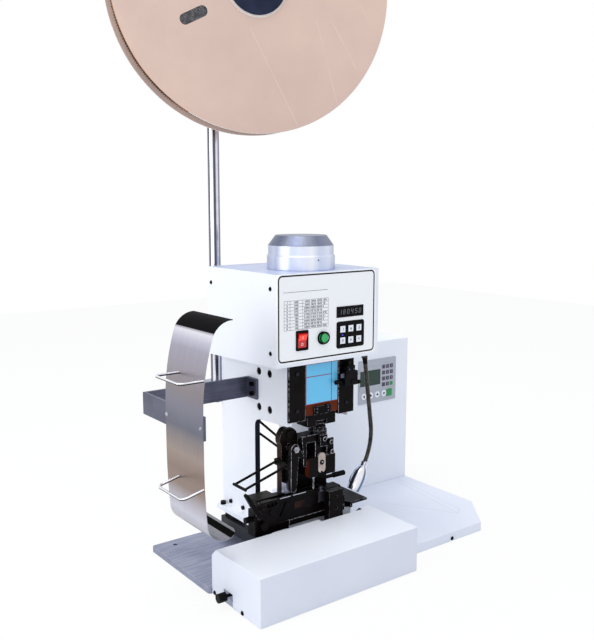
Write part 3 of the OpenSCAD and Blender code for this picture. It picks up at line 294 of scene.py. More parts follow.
finishes = {
    "paintWhite": tone((246, 249, 255), (241, 245, 254), (0.4, 0.5), 0.08, cloud=5, grain=1100, edge=(225, 228, 238),
                       wear=0.4),
    "panelWhite": tone((253, 254, 255), (250, 252, 255), (0.28, 0.36), 0.03, coat=0.2, grain=1500),
    # Pale blue-grey for the tray's fold lines: painted shade
    "paintShade": tone((206, 213, 235), (196, 204, 228), (0.4, 0.5), 0.05),
    # Front cover paint, its sides darker than its top as painted shade
    "paintCover": tone((246, 249, 255), (241, 245, 254), (0.4, 0.5), 0.08, cloud=5, grain=1100, edge=(244, 246, 252),
                       wear=0.4, bands=[(0, (234, 235, 240)), (0.6, (234, 235, 240)), (1, (255, 255, 255))]),
    # Tray paint: a darker copy of the white as painted shade
    "paintTable": tone((234, 238, 249), (228, 233, 246), (0.4, 0.5), 0.08, cloud=5, grain=1100, edge=(225, 228, 238),
                       wear=0.4),
    # Top faces of the head cover: a darker copy of the white as painted shade
    "paintTop": tone((190, 200, 227), (178, 189, 218), (0.35, 0.45), 0.08, cloud=5, grain=1100),
    # Dark paint; it also stands as painted shade inside the front cover and on the stripping unit under it
    "darkPaint": tone((46, 48, 54), (34, 35, 40), (0.4, 0.55), 0.15, gloss=0.25, cloud=14),
    # Black oxide; its light edge colour is a painted highlight along the edges
    "blackOxide": tone((6, 6, 8), (19, 13, 12), (0.24, 0.4), 0.16, gloss=0.06, cloud=34, grain=700,
                       edge=(214, 214, 222), wear=0.9, wearScale=190),
    "blackPlastic": tone((9, 9, 12), (15, 15, 18), (0.36, 0.5), 0.1, gloss=0.08, cloud=20, grain=1600),
    # Near-black strip on the chute's foot: painted shadow
    "deepBlack": tone((5, 5, 6), (9, 9, 10), (0.6, 0.8), 0.1, gloss=0.05),
    "rubberPad": tone((12, 12, 13), (20, 19, 19), (0.7, 0.85), 0.3, gloss=0.1, cloud=40),
    # Machined and plate steel; their light edge colour is a painted highlight along the edges
    "machinedSteel": tone((178, 183, 200), (158, 163, 182), (0.3, 0.42), 0.05, metal=1, brush=(900, 14, 900),
                          stroke=0.45, edge=(226, 228, 236), wear=0.6),
    "plateSteel": tone((172, 177, 198), (104, 111, 140), (0.3, 0.46), 0.06, metal=0.9, cloud=5, brush=(16, 260, 900),
                       stroke=0.6, edge=(226, 228, 236), wear=0.7),
    "edgeSteel": tone((96, 104, 128), (62, 68, 88), (0.3, 0.45), 0.05, metal=0.8, brush=(900, 30, 12), stroke=0.6),
    "brownSteel": tone((116, 46, 22), (72, 26, 12), (0.32, 0.5), 0.06, gloss=0.08, cloud=26, brush=(700, 700, 16),
                       stroke=0.4),
    "darkBrown": tone((56, 30, 24), (18, 12, 12), (0.32, 0.5), 0.1, gloss=0.08, cloud=44),
    "crimperSteel": tone((196, 184, 178), (168, 152, 146), (0.3, 0.42), 0.06, metal=0.35, cloud=90),
    "brightNut": tone((190, 190, 198), (96, 96, 104), (0.16, 0.3), 0.05, metal=1, cloud=160),
    # Chute sheet steel with painted reflection bands along its height
    "sheetSteel": tone((250, 250, 252), (224, 222, 226), (0.26, 0.38), 0.05, metal=0.8, cloud=4, brush=(40, 1300, 8),
                       stroke=0.7, bands=chutePaintedReflections, span=(139, 530)),
    # Near-black top of the chute's curled lip: painted shade and dark reflection
    "sheetTop": tone((6, 6, 8), (14, 13, 16), (0.45, 0.6), 0.05, gloss=0.02, cloud=6, brush=(1400, 30, 30),
                     stroke=0.8),
    # Wire loops: painted highlights and dark sides by how far a face looks up
    "wireChrome": tone((250, 250, 252), (236, 236, 240), (0.12, 0.2), 0.02, metal=0.7, cloud=60, bands=wirePaintedHighlights),
    # Darker steel on the chute's concave inside: painted shade
    "sheetInside": tone((178, 178, 186), (120, 120, 128), (0.26, 0.38), 0.05, metal=0.7, brush=(40, 1300, 8),
                        stroke=0.6),
    # Motor cap aluminium with painted reflection bands round its axis
    "capAluminium": tone((255, 255, 255), (238, 240, 248), (0.3, 0.42), 0.05, metal=0.6, brush=(900, 900, 30),
                         stroke=0.6, bands=capPaintedReflections, around=((0, 57, 0), (0, 0, 0))),
    # Top and chamfer of the motor cap: a darker copy as painted shade, with the same painted reflection bands
    "capTop": tone((160, 164, 176), (118, 123, 140), (0.3, 0.42), 0.05, metal=0.6, brush=(900, 900, 30), stroke=0.7,
                   bands=capPaintedReflections, around=((0, 57, 0), (0, 0, 0))),
    "barAluminium": tone((114, 116, 134), (64, 67, 86), (0.34, 0.5), 0.08, metal=0.8, brush=(14, 900, 900),
                         stroke=0.5),
    "polishedSteel": tone((214, 215, 222), (190, 191, 200), (0.12, 0.22), 0.02, metal=1, cloud=30),
    # Chrome pole with painted reflection stripes round its axis
    "poleChrome": tone((250, 250, 252), (236, 236, 240), (0.14, 0.24), 0.03, metal=0.9, cloud=60, bands=polePaintedReflections,
                       around=((-87, 250, 0), (0, 0, 0))),
    # Lamp head with painted reflection bands round its axis
    "lampChrome": tone((250, 250, 252), (240, 240, 246), (0.08, 0.16), 0.02, metal=0.85, cloud=30, bands=lampPaintedReflections,
                       around=((114.4, -15, 177.8), (0, 210, 0))),
    "neckMetal": tone((88, 84, 82), (8, 7, 8), (0.2, 0.34), 0.05, metal=0.3, gloss=0.2, cloud=120),
    "bluePlate": tone((106, 204, 248), (96, 196, 242), (0.22, 0.3), 0.03, coat=0.3),
    "redLine": tone((150, 34, 58), (132, 26, 48), (0.25, 0.35), 0.02),
    "redPlastic": tone((222, 18, 16), (196, 10, 10), (0.18, 0.28), 0.04, coat=0.3),
    # Brighter red with a weak glow for the rocker's upper half: painted highlight
    "redBright": tone((255, 66, 40), (244, 40, 26), (0.16, 0.24), 0.03, coat=0.3, glow=(255, 50, 30), glowPower=0.25),
    "greenPlastic": tone((26, 172, 92), (14, 146, 76), (0.18, 0.28), 0.04, coat=0.3, glow=(20, 190, 90),
                         glowPower=0.12),
    "greenKey": tone((22, 158, 84), (16, 140, 72), (0.35, 0.45), 0.04),
    "greyPlastic": tone((186, 189, 198), (176, 179, 189), (0.4, 0.5), 0.05),
    "screenGlass": tone((50, 78, 66), (32, 50, 46), (0.1, 0.18), 0.01, gloss=0.2, coat=0.2, cloud=14),
    "violetKey": tone((70, 64, 92), (56, 50, 76), (0.4, 0.5), 0.04),
    "whiteKey": tone((244, 247, 253), (234, 238, 247), (0.32, 0.42), 0.04),
    "inkBlack": tone((7, 7, 10), (12, 12, 15), (0.4, 0.5), 0.02, gloss=0.08),
    "digitGrey": tone((124, 128, 136), (104, 108, 116), (0.4, 0.5), 0.02),
    "blueLight": tone((80, 70, 200), (96, 88, 220), (0.2, 0.3), 0.12, glow=(90, 80, 230), glowPower=0.6),
    "cardboard": tone((229, 200, 184), (214, 187, 175), (0.75, 0.9), 0.2, gloss=0.25, cloud=4, grain=500,
                      edge=(196, 140, 96), wear=0.6, wearScale=30),
    # Pale cut edges of the card, with a painted highlight along them
    "cardEdge": tone((240, 234, 230), (224, 208, 198), (0.75, 0.9), 0.3, cloud=30, grain=400),
    "cardCrease": tone((240, 220, 206), (226, 202, 188), (0.75, 0.9), 0.1, gloss=0.25, cloud=20),
    "rimWorn": tone((206, 140, 84), (120, 66, 34), (0.75, 0.9), 0.3, gloss=0.2, cloud=22),
    "hubPlastic": tone((22, 27, 46), (44, 50, 74), (0.3, 0.42), 0.05, gloss=0.12, cloud=18),
    "terminalMetal": tone((112, 100, 90), (62, 54, 50), (0.25, 0.4), 0.05, metal=0.8, cloud=200),
    # Dark coil of terminals between the reel's flanges: painted shade
    "coilDark": tone((44, 38, 36), (24, 20, 20), (0.5, 0.7), 0.2, gloss=0.15, cloud=60),
}
finishOf = {
    "white_paint": "paintWhite", "panel_white": "panelWhite", "dark_paint": "darkPaint", "black_oxide": "blackOxide",
    "black_plastic": "blackPlastic", "red_plastic": "redPlastic", "green_plastic": "greenPlastic",
    "grey_plastic": "greyPlastic", "rubber_pad": "rubberPad", "blue_plate": "bluePlate", "cardboard": "cardboard",
    "machined_steel": "machinedSteel", "brown_steel": "brownSteel", "sheet_steel": "sheetSteel",
    "cap_aluminium": "capAluminium", "bar_aluminium": "barAluminium", "chrome": "polishedSteel",
    "terminal_brass": "terminalMetal",
}
made = {name: finish(name, look) for name, look in finishes.items()}
print("finishes built:", len(made))


def bodyName(node):
    return body_of(nodes[node])[0]


def camel(name):
    words = name.split("_")
    return words[0] + "".join(w.capitalize() for w in words[1:])


# Puts a mesh into the scene as a piece of a body
def addPiece(name, mesh, material, body, stands=()):
    if material and not mesh.materials:
        mesh.materials.append(made[material])
    piece = bpy.data.objects.new(name, mesh)
    scene.collection.objects.link(piece)
    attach(piece, body)
    if stands:
        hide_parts(*stands)
    return piece


# Face-weighted normals, so that flats stay flat beside their bevels
def evenNormals(name, mesh, sharpAngle=50):
    mesh.shade_smooth()
    mesh.set_sharp_from_angle(angle=radians(sharpAngle))
    holder = bpy.data.objects.new(name + "Hold", mesh)
    scene.collection.objects.link(holder)
    weigh = holder.modifiers.new("weigh", "WEIGHTED_NORMAL")
    weigh.keep_sharp = True
    weigh.weight = 100
    depsgraph = bpy.context.evaluated_depsgraph_get()
    solid = bpy.data.meshes.new_from_object(holder.evaluated_get(depsgraph))
    bpy.data.objects.remove(holder)
    bpy.data.meshes.remove(mesh)
    solid.name = name
    return solid


# Rounds edges, and marks the new faces for the edge wear and painted edge glints
def roundEdges(bm, edges, width, segments):
    mark = bm.faces.layers.float["edgeMask"]
    result = bmesh.ops.bevel(bm, geom=edges, offset=width / 1000, offset_type="OFFSET", segments=segments,
                             profile=0.5, affect="EDGES", clamp_overlap=True)
    for face in result["faces"]:
        face[mark] = 1


# A CAD node with rounded edges, true normals and its finish; extra finishes go to the faces that a test picks
dressSet = {"sameSpot": 0.000004, "flat": 0.5, "edge": 34, "segments": 2}


def dressNode(node, width, material=None, extra=()):
    mesh = nodes[node].data.copy()
    mesh.materials.clear()
    bm = bmesh.new()
    bm.from_mesh(mesh)
    bmesh.ops.remove_doubles(bm, verts=bm.verts, dist=dressSet["sameSpot"])
    bmesh.ops.dissolve_limit(bm, angle_limit=radians(dressSet["flat"]), verts=bm.verts, edges=bm.edges)
    bm.faces.layers.float.new("edgeMask")
    edges = [e for e in bm.edges if e.is_manifold and e.calc_face_angle(0) > radians(dressSet["edge"])]
    if width and edges:
        roundEdges(bm, edges, width, dressSet["segments"])
    for face in bm.faces:
        centre = face.calc_center_median() * 1000
        for k, (look, picks) in enumerate(extra):
            if picks(centre, face.normal):
                face.material_index = k + 1
    bm.to_mesh(mesh)
    bm.free()
    for look in (material or finishOf[slotOf[node]], *(look for look, picks in extra)):
        mesh.materials.append(made[look])
    mesh = evenNormals(camel(node), mesh)
    return addPiece(camel(node), mesh, None, bodyName(node), [node])


bevelWidths = {"head_cover": 1.5, "control_box": 1.5, "front_cover": 1.6, "work_table": 1.5, "control_panel": 0.8,
               "base_plate": 1.0, "frame_left": 1.0, "frame_right": 1.0, "motor_cap": 1.2, "chute": 0.3,
               "terminal_coil": 0.3, "panel_keypad": 0.2, "counter_display": 0.4, "cover_screws": 0.3,
               "gib_screws": 0.3, "anvil": 0.2, "pole": 0.5, "throat_cables": 0.2, "chute_loops": 0.2,
               "box_panel": 0.3, "lamp_head": 0.2, "feed_bracket": 0.5, "terminal_track": 0.5}
# Finishes in place of the slot's own; the pole, lamp, wire loops, front cover, tray, coil and stripping unit carry
# painted reflections and shade
looksOf = {"base_plate": "plateSteel", "pole": "poleChrome", "lamp_head": "lampChrome", "chute_loops": "wireChrome",
           "gooseneck": "neckMetal", "front_cover": "paintCover", "work_table": "paintTable",
           "counter_display": "inkBlack", "panel_keypad": "inkBlack", "terminal_coil": "coilDark",
           "strip_unit": "darkPaint"}


def throatWall(centre, normal):
    return 70.6 < abs(centre.x) < 82.9 and -8 < centre.y < 106 and 87 < centre.z < 290 and abs(normal.x) < 0.5


# Faces inside the front cover, which take dark paint as painted shade
def underCover(centre, normal):
    lo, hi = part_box("front_cover")
    return all(c - l * 1000 > 1.3 and h * 1000 - c > 1.3 for c, l, h in zip(centre, lo, hi))


def chuteInside(centre, normal):
    return centre.z < 262 and normal.z > 0.25 and centre.x > -318


def chuteTip(centre, normal):
    return centre.z < 170 and normal.z > 0.25 and -274 < centre.x < -261


def chuteTop(centre, normal):
    return centre.z > 508


def raised(left, right, low, high, face=198.95):
    return lambda centre, normal: left < centre.x < right and low < centre.z < high and centre.y < face


def bracketSide(centre, normal):
    return normal.x < -0.9 and 120.5 < centre.z < 268


extraLooks = {
    "frame_left": [("edgeSteel", throatWall)],
    "frame_right": [("edgeSteel", throatWall)],
    "cover_screws": [("brightNut", lambda centre, normal: centre.x < -323)],
    # Top faces of the head cover take a darker copy of the white as painted shade
    "head_cover": [("paintTop", lambda centre, normal: normal.z > 0.9 and centre.z > 590)],
    # Top and chamfer of the motor cap take a darker copy as painted shade
    "motor_cap": [("capTop", lambda centre, normal: normal.z > 0.3 and centre.z > 630)],
    "feed_bracket": [("darkBrown", bracketSide), ("brightNut", raised(-74, -58, 234, 250, -13.9))],
    "box_panel": [("violetKey", raised(359, 397, 268, 328)), ("greenKey", raised(385, 397, 268, 281)),
                  ("whiteKey", raised(290, 374, 245, 260)), ("greenPlastic", raised(380, 394, 246, 260))],
    # Faces inside the front cover take dark paint as painted shade
    "front_cover": [("darkPaint", underCover)],
    # The chute's inside, foot strip and curled lip take painted shade
    "chute": [("sheetInside", chuteInside), ("deepBlack", chuteTip), ("sheetTop", chuteTop)],
}
ownNodes = {"crimper", "reel"}  # whole pieces of this script stand for these
for node in nodes:
    if node not in ownNodes:
        width = bevelWidths.get(node, 0.8 if slotOf[node] == "black_oxide" else 0.6)
        dressNode(node, width, looksOf.get(node), extraLooks.get(node, ()))
print("nodes dressed")


# Geometry Nodes helpers
def newTree(name, sizes):
    tree = bpy.data.node_groups.new(name, "GeometryNodeTree")
    tree.interface.new_socket(name="Geometry", in_out="INPUT", socket_type="NodeSocketGeometry")
    addInputs(tree, sizes)
    tree.interface.new_socket(name="Finish", in_out="INPUT", socket_type="NodeSocketMaterial")
    tree.interface.new_socket(name="Geometry", in_out="OUTPUT", socket_type="NodeSocketGeometry")
    return tree, tree.nodes.new("NodeGroupInput").outputs


def geoNode(tree, kind, inputs=None, **settings):
    node = tree.nodes.new(kind)
    for key, value in settings.items():
        setattr(node, key, value)
    for key, value in (inputs or {}).items():
        feed(tree, node.inputs[key], value)
    return node.outputs


def vectorNode(tree, **parts):
    return geoNode(tree, "ShaderNodeCombineXYZ", parts)[0]


def endTree(tree, given, geometry):  # realized, because the export drops instances, and given its finish
    real = geoNode(tree, "GeometryNodeRealizeInstances", {"Geometry": geometry})[0]
    painted = geoNode(tree, "GeometryNodeSetMaterial", {"Geometry": real, "Material": given["Finish"]})[0]
    tree.links.new(painted, tree.nodes.new("NodeGroupOutput").inputs[0])


# Runs a tree on a mesh or curve and gives back the plain mesh
def growMesh(name, data, tree, values):
    holder = bpy.data.objects.new(name + "Seed", data)
    scene.collection.objects.link(holder)
    grow = holder.modifiers.new("grow", "NODES")
    grow.node_group = tree
    for item in tree.interface.items_tree:
        if item.item_type == "SOCKET" and item.in_out == "INPUT" and item.name in values:
            grow[item.identifier] = values[item.name]
    depsgraph = bpy.context.evaluated_depsgraph_get()
    solid = bpy.data.meshes.new_from_object(holder.evaluated_get(depsgraph))
    holder.modifiers.remove(grow)
    bpy.data.objects.remove(holder)
    return evenNormals(name, solid, 40)


def growPiece(name, data, tree, sizes, look, body="base"):
    mesh = growMesh(name, data, tree, {**sizes, "Finish": made[look]})
    return addPiece(name, mesh, look, body)


# Seed points in millimetres, each with the direction that what stands on it faces
def seedPoints(name, places):
    mesh = bpy.data.meshes.new(name)
    mesh.from_pydata([[c / 1000 for c in place] for place, way in places], [], [])
    ways = mesh.attributes.new("facing", "FLOAT_VECTOR", "POINT")
    for k, (place, way) in enumerate(places):
        ways.data[k].vector = way
    return mesh


# Socket screws: a head with a hexagon recess on every seed point, facing the way the point says
screwTree, given = newTree("socketScrews", {"Head Diameter": 0.006, "Head Height": 0.003, "Socket Width": 0.003})
high = given["Head Height"]
headRadius = mathNode(screwTree, "MULTIPLY", given["Head Diameter"], 0.5)
hexRadius = mathNode(screwTree, "MULTIPLY", given["Socket Width"], 0.577)
head = geoNode(screwTree, "GeometryNodeMeshCylinder", {"Vertices": 24, "Radius": headRadius, "Depth": high})[0]
recess = geoNode(screwTree, "GeometryNodeMeshCylinder", {"Vertices": 6, "Radius": hexRadius, "Depth": high})[0]
lift = vectorNode(screwTree, Z=mathNode(screwTree, "MULTIPLY", high, 0.5))
headUp = geoNode(screwTree, "GeometryNodeTransform", {"Geometry": head, "Translation": lift})[0]
lift = vectorNode(screwTree, Z=high)
recessUp = geoNode(screwTree, "GeometryNodeTransform", {"Geometry": recess, "Translation": lift})[0]
cut = geoNode(screwTree, "GeometryNodeMeshBoolean", {"Mesh 1": headUp, "Mesh 2": recessUp}, operation="DIFFERENCE")[0]
facing = geoNode(screwTree, "GeometryNodeInputNamedAttribute", {"Name": "facing"}, data_type="FLOAT_VECTOR")[0]
aim = geoNode(screwTree, "FunctionNodeAlignRotationToVector", {"Vector": facing}, axis="Z")[0]
endTree(screwTree, given, geoNode(screwTree, "GeometryNodeInstanceOnPoints", {
    "Points": given["Geometry"], "Instance": cut, "Rotation": aim})[0])


def screws(name, places, sizes, look, body="base"):  # sizes: head diameter, head height, socket width
    labels = ("Head Diameter", "Head Height", "Socket Width")
    growPiece(name, seedPoints(name + "Points", places), screwTree,
              {label: size / 1000 for label, size in zip(labels, sizes)}, look, body)


# A ribbed tube: rings set along a path of edges
ribTree, given = newTree("ribbedTube", {"Radius": 0.004, "Pitch": 0.0026, "Rib": 0.001})
around = geoNode(ribTree, "GeometryNodeCurvePrimitiveCircle", {"Resolution": 20, "Radius": given["Radius"]})[0]
section = geoNode(ribTree, "GeometryNodeCurvePrimitiveCircle", {"Resolution": 6, "Radius": given["Rib"]})[0]
ring = geoNode(ribTree, "GeometryNodeCurveToMesh", {"Curve": around, "Profile Curve": section})[0]
route = geoNode(ribTree, "GeometryNodeMeshToCurve", {"Mesh": given["Geometry"]})[0]
spaced = geoNode(ribTree, "GeometryNodeCurveToPoints", {"Curve": route, "Length": given["Pitch"]}, mode="LENGTH")
endTree(ribTree, given, geoNode(ribTree, "GeometryNodeInstanceOnPoints", {
    "Points": spaced["Points"], "Instance": ring, "Rotation": spaced["Rotation"]})[0])

# A wound strip: terminals round a circle, in rows side by side, then turned to the reel
windTree, given = newTree("woundStrip", {"Radius": 0.272, "Around": 340, "Rows": 3, "Row Pitch": 0.016,
                                         "Width": 0.013, "Centre": (0, 0, 0), "Turn": (0, 0, 0)})


def widthShare(share):
    return mathNode(windTree, "MULTIPLY", given["Width"], share)


circle = geoNode(windTree, "GeometryNodeCurvePrimitiveCircle", {
    "Resolution": given["Around"], "Radius": given["Radius"]})[0]
dots = geoNode(windTree, "GeometryNodeCurveToPoints", {"Curve": circle, "Count": given["Around"]}, mode="COUNT")
barrel = geoNode(windTree, "GeometryNodeMeshCube", {
    "Size": vectorNode(windTree, X=0.0022, Y=widthShare(0.55), Z=0.0046)})[0]
carrier = geoNode(windTree, "GeometryNodeMeshCube", {
    "Size": vectorNode(windTree, X=0.0052, Y=widthShare(0.2), Z=0.0012)})[0]
carrierAside = geoNode(windTree, "GeometryNodeTransform", {
    "Geometry": carrier, "Translation": vectorNode(windTree, Y=widthShare(0.4))})[0]
terminal = windTree.nodes.new("GeometryNodeJoinGeometry")
windTree.links.new(barrel, terminal.inputs[0])
windTree.links.new(carrierAside, terminal.inputs[0])
outward = geoNode(windTree, "FunctionNodeAlignRotationToVector", {
    "Vector": geoNode(windTree, "GeometryNodeInputPosition")[0]}, axis="Z")[0]
level = geoNode(windTree, "FunctionNodeAlignRotationToVector", {"Rotation": outward, "Vector": (0, 0, 1)}, axis="Y",
                pivot_axis="Z")[0]
oneRow = geoNode(windTree, "GeometryNodeInstanceOnPoints", {
    "Points": dots["Points"], "Instance": terminal.outputs[0], "Rotation": level})[0]
rowReal = geoNode(windTree, "GeometryNodeRealizeInstances", {"Geometry": oneRow})[0]
rowsWide = mathNode(windTree, "MULTIPLY", mathNode(windTree, "SUBTRACT", given["Rows"], 1), given["Row Pitch"])
rowLine = geoNode(windTree, "GeometryNodeMeshLine", {
    "Count": given["Rows"], "Start Location": vectorNode(windTree, Z=mathNode(windTree, "MULTIPLY", rowsWide, -0.5)),
    "Offset": vectorNode(windTree, Z=given["Row Pitch"])})[0]
allRows = geoNode(windTree, "GeometryNodeInstanceOnPoints", {"Points": rowLine, "Instance": rowReal})[0]
endTree(windTree, given, geoNode(windTree, "GeometryNodeTransform", {
    "Geometry": allRows, "Translation": given["Centre"], "Rotation": given["Turn"]})[0])

# A coil spring that stands along Z
springTree, given = newTree("coilSpring", {"Turns": 7.0, "Radius": 0.004, "Height": 0.02, "Wire": 0.0006,
                                           "Place": (0, 0, 0)})
helix = geoNode(springTree, "GeometryNodeCurveSpiral", {
    "Resolution": 16, "Rotations": given["Turns"], "Start Radius": given["Radius"], "End Radius": given["Radius"],
    "Height": given["Height"]})[0]
wire = geoNode(springTree, "GeometryNodeCurvePrimitiveCircle", {"Resolution": 6, "Radius": given["Wire"]})[0]
coil = geoNode(springTree, "GeometryNodeCurveToMesh", {"Curve": helix, "Profile Curve": wire, "Fill Caps": True})[0]
endTree(springTree, given, geoNode(springTree, "GeometryNodeTransform", {
    "Geometry": coil, "Translation": given["Place"]})[0])
print("trees built")


# Small solids in mesh code, all in millimetres
def plainMesh(name, bm):
    bmesh.ops.remove_doubles(bm, verts=bm.verts, dist=0.0000005)
    bmesh.ops.recalc_face_normals(bm, faces=bm.faces)
    mesh = bpy.data.meshes.new(name)
    bm.to_mesh(mesh)
    bm.free()
    return mesh


def blocks(name, boxes, rounding):
    bm = bmesh.new()
    bm.faces.layers.float.new("edgeMask")
    for low, high in boxes:
        corners = bmesh.ops.create_cube(bm, size=1)["verts"]
        for v in corners:
            v.co = Vector([((l + h) / 2 + c * (h - l)) / 1000 for l, h, c in zip(low, high, v.co)])
        roundEdges(bm, list({e for v in corners for e in v.link_edges}), rounding, 2)
    return evenNormals(name, plainMesh(name, bm), 40)


# An axis with the two directions across it; south is the way the front faces
axes = {"x": ((1, 0, 0), (0, 1, 0), (0, 0, 1)), "y": ((0, 1, 0), (0, 0, 1), (1, 0, 0)),
        "z": ((0, 0, 1), (1, 0, 0), (0, 1, 0)), "south": ((0, -1, 0), (0, 0, 1), (1, 0, 0))}


def lathe(bm, profile, centre, axis, steps=32, ripple=0):  # profile of (radius, place along the axis)
    along, across, aside = (Vector(way) for way in (axes[axis] if isinstance(axis, str) else axis))
    rings = []
    for radius, height in profile:
        base = Vector(centre) + along * height
        if radius < 0.01:
            rings.append([bm.verts.new(base / 1000)])
            continue
        ring = []
        for k in range(steps):
            out = across * cos(tau * k / steps) + aside * sin(tau * k / steps)
            ring.append(bm.verts.new((base + out * radius * (1 - ripple * (k % 2))) / 1000))
        rings.append(ring)
    for one, two in zip(rings, rings[1:]):
        for k in range(steps):
            n = (k + 1) % steps
            if len(one) == 1 and len(two) > 1:
                bm.faces.new((one[0], two[k], two[n]))
            elif len(two) == 1 and len(one) > 1:
                bm.faces.new((one[k], two[0], one[n]))
            elif len(one) > 1:
                bm.faces.new((one[k], two[k], two[n], one[n]))


def turnedPieces(name, items, steps=32, ripple=0):
    bm = bmesh.new()
    for profile, centre, axis in items:
        lathe(bm, profile, centre, axis, steps, ripple)
    return evenNormals(name, plainMesh(name, bm), 40)


def disc(radius, high, edge=0.4):  # profile of a plain disc with a broken edge
    return [(0, 0), (radius, 0), (radius, high - edge), (radius - edge, high), (0, high)]


def prism(bm, ahead, behind):  # a closed solid between two loops of points
    ahead, behind = ([bm.verts.new([c / 1000 for c in point]) for point in loop] for loop in (ahead, behind))
    bm.faces.new(ahead)
    bm.faces.new(behind[::-1])
    for k in range(len(ahead)):
        n = (k + 1) % len(ahead)
        bm.faces.new((ahead[k], behind[k], behind[n], ahead[n]))


# Flat marks as thin prisms: outlines in x and z between two depths
def prisms(name, outlines, front, back):
    bm = bmesh.new()
    for outline in outlines:
        prism(bm, [(x, front, z) for x, z in outline], [(x, back, z) for x, z in outline])
    return evenNormals(name, plainMesh(name, bm), 40)


def addMarks(name, outlines, front, back, look, slot, body="base"):
    return addPiece(name, prisms(name, outlines, front, back), look, body)


def addBlocks(name, boxes, rounding, look, body="base"):
    return addPiece(name, blocks(name, boxes, rounding), look, body)


def addTurned(name, items, look, body="base"):
    return addPiece(name, turnedPieces(name, items), look, body)


def roundedLoop(cx, cz, w, h, r, steps=6):
    points = []
    for sx, sz, start in ((1, 1, 0), (-1, 1, 90), (-1, -1, 180), (1, -1, 270)):
        for k in range(steps + 1):
            a = radians(start + 90 * k / steps)
            points.append((cx + sx * (w / 2 - r) + r * cos(a), cz + sz * (h / 2 - r) + r * sin(a)))
    return points


def bandOutlines(points, width, closed=True):  # a line of the given width as quads with mitred joints
    count = len(points)
    sides = []
    for k, (x, z) in enumerate(points):
        before = points[k - 1] if closed or k else points[k]
        after = points[(k + 1) % count] if closed or k < count - 1 else points[k]
        dx, dz = after[0] - before[0], after[1] - before[1]
        length = sqrt(dx * dx + dz * dz)
        nx, nz = -dz / length * width / 2, dx / length * width / 2
        sides.append(((x + nx, z + nz), (x - nx, z - nz)))
    last = count if closed else count - 1
    return [[sides[k][0], sides[(k + 1) % count][0], sides[(k + 1) % count][1], sides[k][1]] for k in range(last)]


def ringOutline(x, z, radius, count):
    return [(x + radius * cos(tau * k / count), z + radius * sin(tau * k / count)) for k in range(count)]


def turnedOutline(points, x, z, degreesRound):  # turned about its own origin and put at x, z
    a = radians(degreesRound)
    return [(x + px * cos(a) - pz * sin(a), z + px * sin(a) + pz * cos(a)) for px, pz in points]


def rect(x0, x1, z0, z1):
    return [(x0, z0), (x1, z0), (x1, z1), (x0, z1)]


# Digits of seven bars, as a counter shows them
barsOf = {"0": "abcdef", "1": "bc", "2": "abged", "3": "abgcd", "4": "fgbc", "5": "afgcd", "6": "afgedc", "7": "abc",
          "8": "abcdefg", "9": "abfgcd"}


def digitOutlines(sign, x, z, size, lean=0):  # size: width, height, thickness of a bar
    w, h, t = size
    bars = {"a": rect(-w / 2, w / 2, h / 2 - t, h / 2), "d": rect(-w / 2, w / 2, -h / 2, -h / 2 + t),
            "g": rect(-w / 2, w / 2, -t / 2, t / 2), "b": rect(w / 2 - t, w / 2, 0, h / 2),
            "c": rect(w / 2 - t, w / 2, -h / 2, 0), "f": rect(-w / 2, -w / 2 + t, 0, h / 2),
            "e": rect(-w / 2, -w / 2 + t, -h / 2, 0)}
    return [[(x + px + pz * lean, z + pz) for px, pz in bars[k]] for k in barsOf[sign]]


# Control panel: border line, counter digits and keys
panelSet = {"face": -35, "left": -121, "right": 117, "low": 426, "high": 589.5, "line": 2.8, "corner": 8,
            "display": (53.8, 511), "digits": "180450", "digitPitch": 10.2, "digitSize": (5.4, 9.6, 1.0),
            "digitLean": 0.12, "keyX": (34, 55, 76), "keyZ": (453.5, 476.5), "keyHalf": 6.4,
            "keySign": (3.2, 6, 0.8), "lightZ": 464.8}
front, keyX, keyZ, half = (panelSet[k] for k in ("face", "keyX", "keyZ", "keyHalf"))
left, right, low, high = (panelSet[k] for k in ("left", "right", "low", "high"))
border = roundedLoop((left + right) / 2, (low + high) / 2, right - left, high - low, panelSet["corner"])
addMarks("panelBorder", bandOutlines(border, panelSet["line"]), front - 0.15, front, "inkBlack", "black_plastic")
outlines = []
for k, sign in enumerate(panelSet["digits"]):
    x = panelSet["display"][0] + (k - 2.5) * panelSet["digitPitch"]
    outlines += digitOutlines(sign, x, panelSet["display"][1], panelSet["digitSize"], panelSet["digitLean"])
addMarks("counterDigits", outlines, front - 1.12, front - 1, "digitGrey", "grey_plastic")
keys = [((x - half, front - 2.3, z - half), (x + half, front - 1.5, z + half)) for x in keyX for z in keyZ]
addBlocks("keyCaps", keys, 0.3, "whiteKey")
arrow, stem = [(-2, -0.6), (2, -0.6), (0, 3)], rect(-0.7, 0.7, -3.4, -0.6)
marks = [turnedOutline(part, keyX[1], keyZ[row], turn) for row, turn in ((1, 0), (0, 180)) for part in (arrow, stem)]
for column, signs in ((0, "12"), (2, "34")):
    for row in (0, 1):
        marks += digitOutlines(signs[row], keyX[column], keyZ[1 - row], panelSet["keySign"])
addMarks("keyMarks", marks, front - 2.42, front - 2.3, "inkBlack", "black_plastic")
addTurned("keyLight", [(disc(1.5, 0.8, 0.3), (keyX[0], front - 0.8, panelSet["lightZ"]), "south")], "blueLight")

